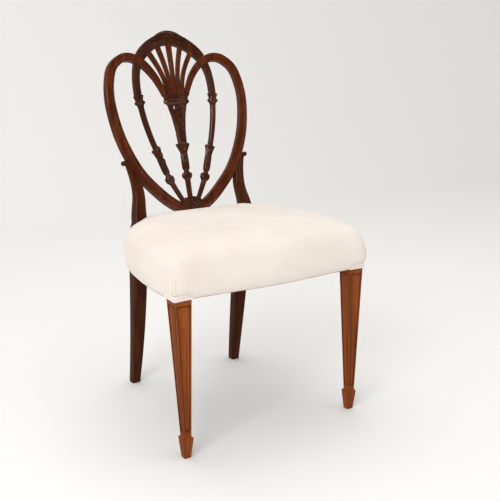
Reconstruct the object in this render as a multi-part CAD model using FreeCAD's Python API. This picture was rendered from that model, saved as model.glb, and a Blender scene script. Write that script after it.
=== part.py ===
"""A shield back dining chair: a heart-shaped moulded back with a fanned splat, square tapered legs on spade
feet, and a seat stuffed over its rails with a bowed front.

The chair stands on the floor at Z = 0 and faces -Y, and X = 0 is its centre line. Sizes are in millimetres.
Left and right are as seen from in front, so right is +X. Every piece of the joinery is its own solid, cut to
seat on its neighbours, and each layer of the seat is a piece too.
"""
import FreeCAD
import Part
import math
import os

from FreeCAD import Vector

# Seat rails
seat_bottom = 385.0         # underside of the rails
rail_height = 62.0
rail_thickness = 22.0
rail_setback = 4.0          # from the edge of the finished seat to the face of the rails
tenon_thickness = 12.0
tenon_length = 18.0
tenon_shoulder = 9.0        # wood left above and below each tenon

# Front legs
leg_top = 42.0              # side of the square post
leg_ankle = 19.5            # side of the square above the foot
leg_front = 265.0           # front face of the posts, in front of the origin
leg_outside = 267.0         # outside face of the posts
leg_lean = 15.0             # how far the outside face comes in, from the seat to the ankle
leg_land = 4.0              # flat margin beside each sunk panel
panel_depth = 1.2
panel_drop = 14.0           # from the seat to the top of each panel
post_ease = 4.0             # taken off the hidden corner of each post
foot_height = 51.0
foot_top = 26.5
foot_bottom = 17.0
foot_lip = 3.0              # straight rim at the top of the foot
foot_slope = 4.0            # sloped shoulder over the rim

# Rear legs
rear_leg_inside = 144.0     # inside faces at the rails, from the centre line
rear_leg_width = 39.0
rear_leg_depth = 37.0
rear_leg_foot = 24.0
rear_leg_splay = 54.5       # how far the foot stands behind the leg's top
scroll_radius = 6.5

# Surface of the back, which leans away and is dished to the sitter
back_at_rails = 134.5       # behind the origin, at the top of the rails
back_rake = 15.7            # degrees
back_dish = 16.0            # hollow at the widest part of the shield

# Outline of the shield, to the middle of its moulding
shield_half_width = 201.0
shield_height = 414.5       # from the foot of the heart to the top of its lobes
shield_lift = 38.0          # foot of the heart above the rails
shield_thickness = 20.0
moulding_ease = 1.8
moulding_quirk = 3.6        # from each edge to the groove beside the crown
moulding_crown = 1.2
arch_thickness = 15.0
arch_setback = 3.5          # front of the arch behind the front of the shield
crest_proud = 2.0           # the raised crest stands out from the arch
splat_thickness = 16.0
fan_thickness = 11.0
bar_ease = 0.2              # share of a bar's thickness taken off its corners
reed_relief = 0.14          # depth of the valleys between reeds, as a share of a reed's width
fan_pitch = 11.2            # between the feet of the fan's ribs
fan_foot = 8.4              # width of each rib at its foot
eye_width = 5.0
eye_height = 11.0
eye_pitch = 20.0
eye_drop = 36.0             # from the top of the splat's capital
rosette_radius = 34.0
rosette_thickness = 25.0
rosette_dome = 6.0
rosette_sides = 28
peg_width = 7.0
peg_length = 30.0
splat_tenon = 14.0

# Seat
seat_margin = 5.0           # the seat stands out this far past the legs
seat_bow = 11.0             # bow of the front rail
seat_back_margin = 17.5     # back of the seat, behind the surface of the back at the rails
webbing_width = 50.0
webbing_thickness = 1.6
webbing_pitch = 78.0
hessian_thickness = 1.0
cover_thickness = 2.0
seat_bulge = 13.0           # how far the stuffed sides swell
seat_shoulder = 85.0        # from the underside of the rails to where the crown starts
seat_crown = 42.0
seat_centre_y = -62.0
piping_diameter = 5.2
dust_cover_thickness = 0.8
dust_cover_margin = 8.0
block_size = 52.0
block_height = 40.0
tack_head = 8.0
tack_shank = 1.6
tack_length = 9.0
tack_pitch = 98.0

rail_top = seat_bottom + rail_height
shield_foot = rail_top + shield_lift
tan_rake = math.tan(math.radians(back_rake))
seat_corner_x = leg_outside + seat_margin
seat_corner_y = -leg_front - seat_margin
seat_back_y = back_at_rails + seat_back_margin
FAR = 2000.0
crumb = 500.0               # a cut piece smaller than this, in cubic millimetres, is dropped


def back_y(x, z):
    """How far behind the origin the middle surface of the back lies."""
    return back_at_rails + tan_rake * (z - rail_top) - back_dish * (x / shield_half_width) ** 2


def on_back(x, z):
    return Vector(x, back_y(x, z), z)


def to_sitter(x):
    """Unit vector square to the surface of the back, towards the sitter."""
    slope = -2 * back_dish * x / shield_half_width**2
    return Vector(slope, -1, tan_rake).normalize()


def shield_x(share):
    """Distance from the centre line, from a share of the shield's half width."""
    return share * shield_half_width


def shield_z(share):
    """Height over the floor, from a share of the shield's height."""
    return shield_foot + share * shield_height


def arc(start, middle, end):
    return Part.Arc(start, middle, end).toShape()


def line(start, end):
    return Part.LineSegment(start, end).toShape()


def polygon(points):
    return Part.makePolygon(points + points[:1])


def octagon(point, side, forward, width, thickness, ease=0.29):
    """Eight-sided outline: a rectangle with its corners taken off by a share of its thickness."""
    half, deep, cut = width / 2, thickness / 2, thickness * ease
    outline = [
        (-half + cut, -deep), (half - cut, -deep), (half, cut - deep), (half, deep - cut),
        (half - cut, deep), (-half + cut, deep), (-half, deep - cut), (-half, cut - deep),
    ]
    return [point + side * a + forward * b for a, b in outline]


def box(low, high):
    size = [b - a for a, b in zip(low, high)]
    return Part.makeBox(*size, Vector(*low))


def rectangle(x0, x1, y0, y1, z):
    return [Vector(x0, y0, z), Vector(x1, y0, z), Vector(x1, y1, z), Vector(x0, y1, z)]


def prism(wire, height):
    return Part.Face(wire).extrude(Vector(0, 0, height))


def skin(rings):
    """Closed solid over a row of outlines, each a list of corners, with every patch as two flat facets."""
    faces = []
    for near, far in zip(rings, rings[1:]):
        for i in range(len(near)):
            a, b, c, d = near[i - 1], near[i], far[i], far[i - 1]
            faces += [Part.Face(polygon([a, b, c])), Part.Face(polygon([a, c, d]))]
    faces += [Part.Face(polygon(rings[0])), Part.Face(polygon(rings[-1]))]
    solid = Part.Solid(Part.Shell(faces)).removeSplitter()
    return solid if solid.Volume > 0 else solid.reversed()


def chords(start, end, rise, count):
    """Points after the start of a flat arch that stands up by rise over the span, as short chords."""
    points = []
    for i in range(1, count):
        share = i / count
        points.append((start + (end - start) * share, rise * math.sin(math.pi * share)))
    return points


def mirrored(shape):
    return shape.mirror(Vector(0, 0, 0), Vector(1, 0, 0))


def largest(shape):
    """The main solid of a shape, without crumbs that a cut left."""
    return max(shape.Solids, key=lambda solid: solid.Volume)


def cut_by(shape, *cutters):
    for cutter in cutters:
        shape = shape.cut(cutter)
    return largest(shape)


class BackLine:
    """A smooth line drawn on the surface of the back, through stations of x, z and width."""

    def __init__(self, stations):
        points = [Vector(x, width, z) for x, z, width in stations]
        self.curve = Part.BSplineCurve()
        self.curve.interpolate(points)
        self.knots = [self.curve.parameter(point) for point in points]

    def frame(self, t):
        """Point, sideways and forward unit vectors, and width, at a place on the line."""
        step = 1e-3
        value = self.curve.value(t)
        along = self.curve.tangent(t)[0]
        ahead = on_back(value.x + along.x * step, value.z + along.z * step)
        behind = on_back(value.x - along.x * step, value.z - along.z * step)
        forward = to_sitter(value.x)
        sideways = (ahead - behind).normalize().cross(forward)
        return on_back(value.x, value.z), sideways, forward, value.y

    def sweep(self, start, end, spacing, section):
        """Solid of a section carried from one station to another."""
        low, high = self.knots[start], self.knots[end]
        count = max(3, math.ceil(self.curve.length(low, high) / spacing))
        places = [low + (high - low) * i / count for i in range(count + 1)]
        return skin([section(self.frame(t)) for t in places])

    def peg(self, station, width, length):
        """Eight-sided peg laid along the line, half of it on each side of a station."""
        point, sideways, forward, _ = self.frame(self.knots[station])
        along = forward.cross(sideways)
        section = octagon(point - along * (length / 2), sideways, forward, width, width)
        return Part.Face(polygon(section)).extrude(along * length)

    def x_at(self, z):
        """Where a falling line crosses a height."""
        low, high = self.knots[0], self.knots[-1]
        for _ in range(40):
            middle = (low + high) / 2
            if self.curve.value(middle).z > z:
                low = middle
            else:
                high = middle
        return self.curve.value(low).x


def moulded_section(frame):
    """The shield's moulding: a crowned face between two quirks, eased edges and a flat back."""
    point, side, forward, width = frame
    half, deep, ease = width / 2, shield_thickness / 2, moulding_ease
    inner = half - moulding_quirk
    groove = deep - moulding_ease / 2
    outline = [
        (-inner, groove), (-half + ease, deep), (-half, deep - ease), (-half, ease - deep),
        (-half + ease, -deep), (half - ease, -deep), (half, ease - deep), (half, deep - ease),
        (half - ease, deep), (inner, groove),
    ]
    outline += [(a, groove + b) for a, b in chords(inner, -inner, moulding_crown + moulding_ease / 2, 4)]
    return [point + side * a + forward * b for a, b in outline]


def reeded_section(frame, thickness, setback, reeds):
    """A flat-backed bar whose face is worked into side-by-side reeds."""
    point, side, forward, width = frame
    front = shield_thickness / 2 - setback
    reed = width / reeds
    valley = front - reed * reed_relief

    half, rear = width / 2, front - thickness
    outline = [(-half, valley), (-half, rear), (half, rear), (half, valley)]
    for i in range(reeds):
        right = half - i * reed
        outline += [(a, valley + b) for a, b in chords(right, right - reed, front - valley, 3)]
        outline.append((right - reed, valley))
    return [point + side * a + forward * b for a, b in outline[:-1]]


def drawn(shares):
    """A line on the back from stations of share of half width, share of height and width."""
    return BackLine([(shield_x(u), shield_z(v), width) for u, v, width in shares])


# Right half of the heart, from its foot out to the side, over the lobe and down to the splat's collar
collar_share = 0.760
heart_line = drawn([
    (0.0, 0.0, 28.0),
    (0.239, 0.055, 28.0),
    (0.448, 0.135, 28.0),
    (0.692, 0.265, 27.0),
    (0.856, 0.413, 26.0),
    (0.960, 0.571, 24.5),
    (1.0, 0.753, 22.5),
    (0.935, 0.910, 22.0),
    (0.796, 0.982, 22.0),
    (0.657, 1.0, 22.0),
    (0.517, 0.983, 21.0),
    (0.398, 0.942, 18.5),
    (0.284, 0.876, 15.0),
    (0.204, 0.803, 11.5),
    (0.162, collar_share - 0.015, 9.5),
])
heart_base_end, heart_side_end, heart_end = 1, 7, 14

# Crest arch, over the lobes and down inside them to the collars of the side bars
arch_half = [
    (0.159, 1.104, 31.0),
    (0.299, 1.071, 30.0),
    (0.418, 1.023, 28.0),
    (0.493, 0.972, 22.0),
    (0.542, 0.910, 18.0),
    (0.565, 0.837, 17.0),
    (0.567, collar_share - 0.010, 17.0),
]
arch_line = drawn([(-u, v, width) for u, v, width in reversed(arch_half)] + [(0.0, 1.115, 31.0)] + arch_half)
arch_start, arch_joint, arch_limb_end = 6, 11, 14
crest_line = drawn([
    (-0.229, 1.116, 8.0),
    (-0.119, 1.137, 17.0),
    (0.0, 1.146, 20.0),
    (0.119, 1.137, 17.0),
    (0.229, 1.116, 8.0),
])

# Middle of the right side bar, from its collar down to the rosette
side_bar_line = drawn([
    (0.567, collar_share, 1.0),
    (0.530, 0.622, 1.0),
    (0.465, 0.490, 1.0),
    (0.378, 0.367, 1.0),
    (0.270, 0.222, 1.0),
    (0.129, 0.092, 1.0),
    (0.080, 0.053, 1.0),
])

# Heads of the fan's ribs, from the middle one outwards: shares of half width and height, and width
fan_heads = [(0.0, 1.088, 15.0), (0.174, 1.071, 13.0), (0.316, 1.028, 13.0)]
fan_bow = 0.26              # how far a rib lags behind the straight line to its head


def collar_profile(top, flare, neck, ring):
    """A small capital, as heights, widths and thicknesses from the top down."""
    thick = shield_thickness
    return [
        (top, flare, thick + 2), (top - 6, neck + 3, thick), (top - 14, neck, thick),
        (top - 16, ring, thick + 3), (top - 21, ring, thick + 3), (top - 24, ring - 9, thick - 2),
    ]


def vase_profile(top, flare, belly, length):
    """A leaf-wrapped vase and the knop under it, as heights, widths and thicknesses from the top down."""
    neck = top - length
    return [
        (top, flare, 20.0), (top - length * 0.14, flare * 0.78, 18.0), (top - length * 0.31, belly, 17.0),
        (top - length * 0.57, belly * 1.06, 18.0), (top - length * 0.92, belly, 17.0),
        (neck, belly * 0.66, 13.0), (neck - 4, belly * 0.83, 16.0), (neck - 13, belly * 1.25, 20.0),
        (neck - 21, belly * 1.06, 18.0), (neck - 25, belly * 0.78, 14.0),
    ]


def turned_bar(middle, profile):
    """A bar of the back through a profile of heights, widths and thicknesses, with its corners taken off."""
    rings = []
    points = [on_back(middle(z), z) for z, _, _ in profile]
    for i, (z, width, thickness) in enumerate(profile):
        along = (points[max(i - 1, 0)] - points[min(i + 1, len(points) - 1)]).normalize()
        forward = to_sitter(middle(z))
        side = along.cross(forward)
        rings.append(octagon(points[i], side, forward, width, thickness, bar_ease))
    return skin(rings)


def make_side_bar():
    """Right side bar: capital, plain bar, leaf-wrapped vase, knop and foot, cut from one length."""
    top, flare, foot = shield_z(collar_share), shield_z(0.417), shield_z(0.053)
    profile = collar_profile(top, 27.0, 20.5, 27.0)
    profile += [(top - 31, 16.5, 15.0), (shield_z(0.59), 16.4, 15.0), (shield_z(0.5), 15.9, 15.0)]
    profile += [(flare + 3, 15.5, 15.0)]
    profile += vase_profile(flare, 27.0, 18.0, 68.0)
    profile += [(shield_z(0.13), 13.5, 14.0), (foot, 12.0, 14.0)]
    return turned_bar(side_bar_line.x_at, profile)


def make_fan_rib(index):
    """One rib of the fan, from the collar up into the arch. Index runs from -2 to 2."""
    head_u, head_v, head_width = fan_heads[abs(index)]
    side = -1 if index < 0 else 1
    foot_x, foot_z = fan_pitch * abs(index), shield_z(collar_share) - 5
    steps = 5
    stations = []
    for step in range(steps + 1):
        rise = step / steps
        spread = rise - (fan_bow * math.sin(math.pi * rise) if index else 0)
        x = foot_x + (shield_x(head_u) - foot_x) * spread
        z = foot_z + (shield_z(head_v) - foot_z) * rise
        width = fan_foot + (head_width - fan_foot) * rise**1.5
        stations.append((side * x, z, width))
    rib = BackLine(stations)
    return rib.sweep(0, steps, 30.0, lambda frame: reeded_section(frame, fan_thickness, arch_setback, 1))


def make_splat(arch):
    """The splat: knop, vase, spreading stem pierced by two eyes, capital and a fan of five ribs."""
    top, flare = shield_z(collar_share), shield_z(0.441)
    profile = collar_profile(top, 76.0, 63.0, 68.0)
    profile += [(top - 28, 54.0, splat_thickness), (shield_z(0.618), 42.0, splat_thickness)]
    profile += [(shield_z(0.526), 31.0, splat_thickness), (flare + 3, 27.0, splat_thickness)]
    profile += vase_profile(flare, 37.0, 18.5, 71.0)
    profile += [(shield_z(0.060), 13.0, 14.0)]
    splat = turned_bar(lambda z: 0.0, profile)
    eye_z = top - eye_drop
    for x in (-eye_pitch / 2, eye_pitch / 2):
        start = Vector(x, back_y(0, eye_z) - shield_thickness * 2, eye_z)
        outline = octagon(start, Vector(0, 0, 1), Vector(1, 0, 0), eye_height, eye_width)
        splat = splat.cut(Part.Face(polygon(outline)).extrude(Vector(0, shield_thickness * 4, 0)))
    for index in range(-2, 3):
        splat = splat.fuse(cut_by(make_fan_rib(index), arch))
    foot = on_back(0, shield_z(0.060))
    tenon = box((-4.0, foot.y - 3, shield_foot), (4.0, foot.y + 3, foot.z + 1))
    return largest(splat.fuse(tenon))


def make_heart():
    """Foot of the heart, and its right side and lobe."""
    half = heart_line.sweep(0, heart_base_end, 14.0, moulded_section)
    half = half.common(box((0, -FAR, 0), (FAR, FAR, FAR)))
    base = largest(half.fuse(mirrored(half)).removeSplitter())
    side = heart_line.sweep(heart_base_end, heart_side_end, 18.0, moulded_section)
    lobe = heart_line.sweep(heart_side_end, heart_end, 13.0, moulded_section)
    return base, side, lobe


def make_arch(lobe, side_bar):
    """Crest arch with its raised crest, and the right limb that carries it on under the lobe."""
    def reeding(frame):
        return reeded_section(frame, arch_thickness, arch_setback, 3)

    def raised(frame):
        return reeded_section(frame, arch_thickness, arch_setback - crest_proud, 1)

    half = arch_line.sweep(arch_start, arch_limb_end, 14.0, reeding).common(box((0, -FAR, 0), (FAR, FAR, FAR)))
    pieces = half.cut(lobe).Solids
    span = min(pieces, key=lambda solid: solid.BoundBox.XMin)
    limb = min(pieces, key=lambda solid: solid.BoundBox.ZMin)
    crest = crest_line.sweep(0, 4, 12.0, raised)
    arch = span.fuse(mirrored(span)).removeSplitter().fuse(crest)
    return largest(arch), cut_by(limb, side_bar)


def make_rosette():
    """Half patera standing on the foot of the heart, with a domed face."""
    bottom = shield_z(0.024)
    middle, forward = on_back(0, bottom), to_sitter(0)
    rear = middle - forward * (shield_thickness / 2)
    across = Vector(1, 0, 0)
    up = across.cross(forward)
    turns = [2 * math.pi * i / rosette_sides for i in range(rosette_sides)]
    corners = [across * math.cos(turn) + up * math.sin(turn) for turn in turns]
    face = rosette_thickness - rosette_dome
    profile = [(0, 0), (0, face), (0.15, face + rosette_dome * 0.7), (0.5, rosette_thickness)]
    rings = []
    for inward, stand in profile:
        radius = rosette_radius * (1 - inward)
        rings.append([rear + forward * stand + corner * radius for corner in corners])
    disc = skin(rings)
    half = box((-FAR, -FAR, bottom), (FAR, FAR, FAR))
    return largest(disc.common(half))


def make_rear_leg():
    """Right rear leg, sawn in one with the stile that carries the shield and ends in a small scroll."""
    inside, width, depth = rear_leg_inside, rear_leg_width, rear_leg_depth
    front = back_at_rails - 7.0
    stations = []
    for rise in (0.0, 0.1, 0.2, 0.32, 0.46, 0.62, 0.8):
        z, drop = seat_bottom * rise, 1 - rise
        wide = width - (width - rear_leg_foot) * drop**1.6
        deep = depth - (depth - rear_leg_foot - 2) * drop**1.6
        stations.append((z, inside + 9.5 * drop**2.5, wide, front + 7 + rear_leg_splay * drop**1.35, deep))
    stations.append((seat_bottom, inside, width, front + 7, depth + 1))
    stations.append((rail_top, inside + 1, width, front, depth - 1))
    stile = [
        (0.733, 35.5, -0.025, 34.0), (0.735, 33.5, 0.012, 31.5), (0.727, 31.0, 0.065, 29.0),
        (0.711, 28.5, 0.125, 26.0), (0.711, 27.0, 0.185, 23.5), (0.731, 26.0, 0.250, 21.0),
        (0.766, 23.5, 0.305, 19.0), (0.811, 20.5, 0.359, 18.0),
    ]
    for u, wide, v, deep in stile:
        x, z = shield_x(u), shield_z(v)
        stations.append((z, x, wide, back_y(x, z) - deep * 0.55, deep))
    rings = [rectangle(x, x + wide, y, y + deep, z) for z, x, wide, y, deep in stations]
    scroll_x, scroll_z = shield_x(0.918), shield_z(0.352)
    axis = to_sitter(scroll_x)
    start = on_back(scroll_x, scroll_z) - axis * (shield_thickness / 2 - 1)
    return skin(rings).fuse(Part.makeCylinder(scroll_radius, shield_thickness - 3, start, axis))


def make_front_leg():
    """Right front leg: square post in the seat, panelled taper and spade foot."""
    x1, y0 = leg_outside, -leg_front
    ankle_z = foot_height + foot_slope
    ankle_x = leg_outside - leg_lean - leg_ankle / 2
    ankle_y = y0 - 1.5 + leg_ankle / 2

    def square(side, z):
        return rectangle(ankle_x - side / 2, ankle_x + side / 2, ankle_y - side / 2, ankle_y + side / 2, z)

    post = box((x1 - leg_top, y0, seat_bottom), (x1, y0 + leg_top, rail_top))
    hidden = [edge for edge in post.Edges if edge.BoundBox.ZLength > 1 and edge.BoundBox.XMax > x1 - 1]
    post = post.makeChamfer(post_ease, [edge for edge in hidden if edge.BoundBox.YMax < y0 + 1])
    taper = skin([rectangle(x1 - leg_top, x1, y0, y0 + leg_top, seat_bottom), square(leg_ankle, ankle_z)])
    for panel in leg_panels(Vector(x1 - leg_top / 2, y0 + leg_top / 2, seat_bottom), Vector(ankle_x, ankle_y, ankle_z)):
        taper = taper.cut(panel)
    foot = skin([
        square(leg_ankle, ankle_z), square(foot_top, foot_height), square(foot_top, foot_height - foot_lip),
        square(foot_bottom, 0),
    ])
    return largest(post.fuse(taper).fuse(foot).removeSplitter())


def leg_panels(top, ankle):
    """Cutters for the long sunk panels in the four faces of the right front leg."""
    cutters = []
    for out in (Vector(0, -1, 0), Vector(1, 0, 0), Vector(0, 1, 0), Vector(-1, 0, 0)):
        along = Vector(-out.y, out.x, 0)
        ends = []
        for drop in (panel_drop, top.z - ankle.z - panel_drop / 2):
            share = drop / (top.z - ankle.z)
            centre = top + (ankle - top) * share
            side = leg_top + (leg_ankle - leg_top) * share
            half, deep = side / 2 - leg_land, side / 2 - panel_depth
            sections = [(half - panel_depth, deep), (half + panel_depth, side / 2 + panel_depth)]
            corners = [centre + along * a + out * b for a, b in sections]
            corners += [centre - along * a + out * b for a, b in reversed(sections)]
            ends.append(corners)
        cutters.append(skin(ends))
    return cutters


def seat_outline(z, grow, scale=1.0, draw=0.0):
    """The seat's outline at one height, of arcs and lines.

    It is swollen by grow, shrunk about its middle by scale, and its back edge is drawn forward by draw.
    """
    corner = 12.0
    cx, cy = seat_corner_x, seat_corner_y
    rear_x = rear_leg_inside + rear_leg_width + 2
    turn = corner * (1 - math.sqrt(0.5))
    named = [
        (0.0, cy - seat_bow, 0.0, -1.0),
        (cx * 0.52, cy - seat_bow * 0.30, 0.0, -1.0),
        (cx * 0.76, cy, 0.0, -1.0),
        (cx - corner, cy, 0.15, -1.0),
        (cx - turn, cy + turn, 0.8, -0.8),
        (cx, cy + corner, 1.0, -0.15),
        (cx + 2.0, cy * 0.57, 1.0, 0.0),
        (cx - 8.0, cy * 0.2, 1.0, 0.1),
        (cx - 30.0, -cy * 0.18, 0.9, 0.2),
        (rear_x, back_at_rails - 1.5 - draw, 0.25, 0.0),
        (rear_x - 21.0, seat_back_y - draw, 0.0, 0.3),
        (0.0, seat_back_y - draw, 0.0, 0.3),
    ]
    right = []
    for x, y, out_x, out_y in named:
        y = seat_centre_y + (y + out_y * grow - seat_centre_y) * scale
        right.append(Vector((x + out_x * grow) * scale, y, z))
    left = [Vector(-p.x, p.y, z) for p in right]
    edges = [arc(left[1], right[0], right[1])]
    for i in (1, 3, 5, 7):
        edges.append(arc(right[i], right[i + 1], right[i + 2]))
    edges += [line(right[9], right[10]), line(right[10], left[10]), line(left[10], left[9])]
    for i in (7, 5, 3, 1):
        edges.append(arc(left[i + 2], left[i + 1], left[i]))
    return Part.Wire(edges)


def faceted(wire, facets=4):
    """Corners of a wire whose arcs are taken as short chords."""
    corners = []
    for edge in wire.OrderedEdges:
        straight = edge.Curve.TypeId == "Part::GeomLine"
        run = edge.discretize(Number=2 if straight else facets + 1)
        if (run[0] - edge.firstVertex(True).Point).Length > 1e-6:
            run.reverse()
        corners += run[:-1]
    return corners


def seat_form(inset, skirt=0.0):
    """The stuffed seat as one closed form, drawn in by inset all round.

    It stands on the underside of the rails, or reaches below it by skirt.
    """
    sides = [(0.0, 0.0, 0.0), (0.2, 0.66, 0.0), (0.48, 1.0, 2.0), (0.76, 0.85, 9.0), (1.0, 0.2, 21.0)]
    crown = [(0.96, 0.32), (0.88, 0.60), (0.76, 0.82), (0.56, 0.95), (0.25, 1.0)]
    shoulder_z = seat_bottom + seat_shoulder
    rings = []
    if skirt:
        rings.append(faceted(seat_outline(seat_bottom - skirt, -inset)))
    for rise, swell, draw in sides:
        z = seat_bottom + (seat_shoulder - inset) * rise
        rings.append(faceted(seat_outline(z, seat_bulge * swell - inset, draw=draw)))
    for scale, rise in crown:
        z = shoulder_z + seat_crown * rise - inset
        rings.append(faceted(seat_outline(z, seat_bulge * swell - inset, scale, draw)))
    return skin(rings)


def make_rails(front_leg, rear_leg):
    """Front, side and back rails with their tenons, from one ring that follows the seat's outline."""
    outer = prism(seat_outline(seat_bottom, -rail_setback), rail_height)
    inner = prism(seat_outline(seat_bottom, -rail_setback - rail_thickness), rail_height)
    ring = outer.cut(inner)
    post_x, post_y = leg_outside - leg_top, leg_top - leg_front
    low, high = seat_bottom + tenon_shoulder, rail_top - tenon_shoulder
    half = tenon_thickness / 2

    def tenon(x0, x1, y0, y1):
        return box((x0, y0, low), (x1, y1, high))

    front_y = seat_corner_y + rail_setback + rail_thickness / 2
    front = ring.common(box((-post_x, -FAR, 0), (post_x, post_y, FAR)))
    tongue = tenon(post_x - 4, post_x + tenon_length, front_y - half, front_y + half)
    front = largest(front.fuse(tongue).fuse(mirrored(tongue)).removeSplitter())

    side_x = seat_corner_x - rail_setback - rail_thickness / 2
    leg_face = back_at_rails - 4.0
    side = largest(ring.common(box((post_x / 2, post_y, 0), (FAR, leg_face, FAR))).cut(rear_leg))
    fore = tenon(side_x - half, side_x + half, post_y - tenon_length, post_y + 4)
    aft_x = rear_leg_inside + rear_leg_width / 2 + 2
    aft = tenon(aft_x - half, aft_x + half, leg_face - 14, leg_face + tenon_length)
    side = largest(side.fuse(fore).fuse(aft).removeSplitter())

    back_y0 = seat_back_y - rail_setback - rail_thickness
    tenon_y = back_y0 + rail_thickness / 2
    reach = rear_leg_inside + 3
    back = box((-reach, back_y0, seat_bottom), (reach, back_y0 + rail_thickness, rail_top))
    back = cut_by(back, rear_leg, mirrored(rear_leg))
    tongue = tenon(rear_leg_inside - 4, rear_leg_inside + tenon_length, tenon_y - half, tenon_y + half)
    back = largest(back.fuse(tongue).fuse(mirrored(tongue)).removeSplitter())
    return front, side, back


def make_corner_blocks(rails, front_leg, rear_leg):
    """Right-hand glue blocks behind the front leg and before the rear one."""
    low = seat_bottom + (rail_height - block_height) / 2
    field = prism(seat_outline(seat_bottom, -rail_setback - 1), rail_height)
    corners = [
        (Vector(leg_outside - leg_top, leg_top - leg_front, low), Vector(-1, 1, 0)),
        (Vector(rear_leg_inside + 14, back_at_rails - 9, low), Vector(-1, -1, 0)),
    ]
    blocks = []
    for corner, inward in corners:
        inward = inward.normalize()
        across = Vector(-inward.y, inward.x, 0)
        tip = corner - inward * block_size
        middle = corner + inward * (block_size / 2)
        reach = block_size * 1.5
        block = prism(polygon([tip, middle + across * reach, middle - across * reach]), block_height)
        block = cut_by(block.common(field), *rails, front_leg, rear_leg)
        blocks.append(block)
    return blocks


def make_webbing():
    """Straps tacked on the rails: one layer front to back, and one across it."""
    field = prism(seat_outline(rail_top, -rail_setback - 5), 3 * webbing_thickness)
    long_straps, cross_straps = [], []
    for i in range(4):
        x = (i - 1.5) * webbing_pitch
        strap = box((x - webbing_width / 2, -FAR, rail_top), (x + webbing_width / 2, FAR, rail_top + webbing_thickness))
        long_straps.append(largest(strap.common(field)))
        y = seat_centre_y + (i - 1.65) * webbing_pitch
        low = rail_top + webbing_thickness
        strap = box((-FAR, y - webbing_width / 2, low), (FAR, y + webbing_width / 2, low + webbing_thickness))
        cross_straps.append(largest(strap.common(field)))
    return long_straps, cross_straps


def make_seat(legs, base):
    """Hessian, stuffing, wadding round the rails, and the fabric cover."""
    deck = rail_top + 2 * webbing_thickness
    hessian = prism(seat_outline(deck, -rail_setback - 2), hessian_thickness)
    stuffing_floor = deck + hessian_thickness
    outer = seat_form(0.0)
    inner = seat_form(cover_thickness, skirt=rail_height)
    stuffing = inner.common(box((-FAR, -FAR, stuffing_floor), (FAR, FAR, FAR)))
    core = prism(seat_outline(seat_bottom, -rail_setback), stuffing_floor - seat_bottom)
    wadding = inner.common(box((-FAR, -FAR, seat_bottom), (FAR, FAR, stuffing_floor))).cut(core)
    cover = outer.cut(inner)
    layers = []
    for layer in (hessian, stuffing, wadding, cover):
        for neighbour in (*legs, base):
            layer = layer.cut(neighbour)
        layers.append([solid for solid in layer.Solids if solid.Volume > crumb])
    return layers


def make_leg_piping():
    """Double cord that trims the cover over the top of the right front leg."""
    radius = piping_diameter / 2
    out_x, out_y = leg_outside + radius, -leg_front - radius
    bend = radius * 1.4
    turn = bend * (1 - math.sqrt(0.5))
    route = [
        (leg_outside - leg_top, out_y, (1, 0)), (out_x - bend, out_y, (1, 0)),
        (out_x - turn, out_y + turn, (math.sqrt(0.5), math.sqrt(0.5))),
        (out_x, out_y + bend, (0, 1)), (out_x, leg_top - leg_front, (0, 1)),
    ]
    cords = []
    for row in (0, 1):
        z = seat_bottom - radius - row * piping_diameter
        rings = []
        for x, y, (along_x, along_y) in route:
            across = Vector(along_y, -along_x, 0)
            rings.append(octagon(Vector(x, y, z), across, Vector(0, 0, 1), piping_diameter, piping_diameter))
        cords.append(skin(rings))
    return cords


def make_tack(point):
    """A tack driven up from the point, with its flat head under it."""
    half = tack_shank / 2
    shank = box((point.x - half, point.y - half, point.z), (point.x + half, point.y + half, point.z + tack_length))
    low = point - Vector(0, 0, 1)
    head = prism(polygon(octagon(low, Vector(1, 0, 0), Vector(0, 1, 0), tack_head, tack_head)), 1.0)
    return largest(head.fuse(shank))


def make_dust_cover(legs):
    """Thin cloth that closes the underside, and the tacks that hold it to the rails."""
    low = seat_bottom - dust_cover_thickness
    cloth = prism(seat_outline(low, -dust_cover_margin), dust_cover_thickness)
    inset = rail_setback + rail_thickness / 2
    route = seat_outline(low, -inset).discretize(Distance=tack_pitch)
    tacks = [make_tack(Vector(0, y, low)) for y in (seat_corner_y - seat_bow + inset, seat_back_y - inset)]
    for point in route:
        if point.x > tack_pitch / 2 and min(leg.distToShape(Part.Vertex(point))[0] for leg in legs) > tack_head:
            tacks += [make_tack(point), mirrored(make_tack(point))]
    return cut_by(cloth, *legs), tacks


def middle_of(shapes):
    """How far the box round all the pieces is off the origin, front to back."""
    boxes = [solid.optimalBoundingBox(True, False) for solid in shapes]
    return (min(box.YMin for box in boxes) + max(box.YMax for box in boxes)) / 2


def export(name, solids, shift):
    """Write one node: a single solid, or a group of like pieces."""
    solids = [solid.translated(shift) for solid in solids]
    for solid in solids:
        assert solid.isValid() and solid.isClosed() and solid.Volume > 0, name
    whole = solids[0] if len(solids) == 1 else Part.makeCompound(solids)
    whole.exportStep(os.path.join("parts", name + ".step"))
    print(name, len(solids), "solid(s),", round(sum(solid.Volume for solid in solids) / 1000, 2), "cm3")


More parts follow.
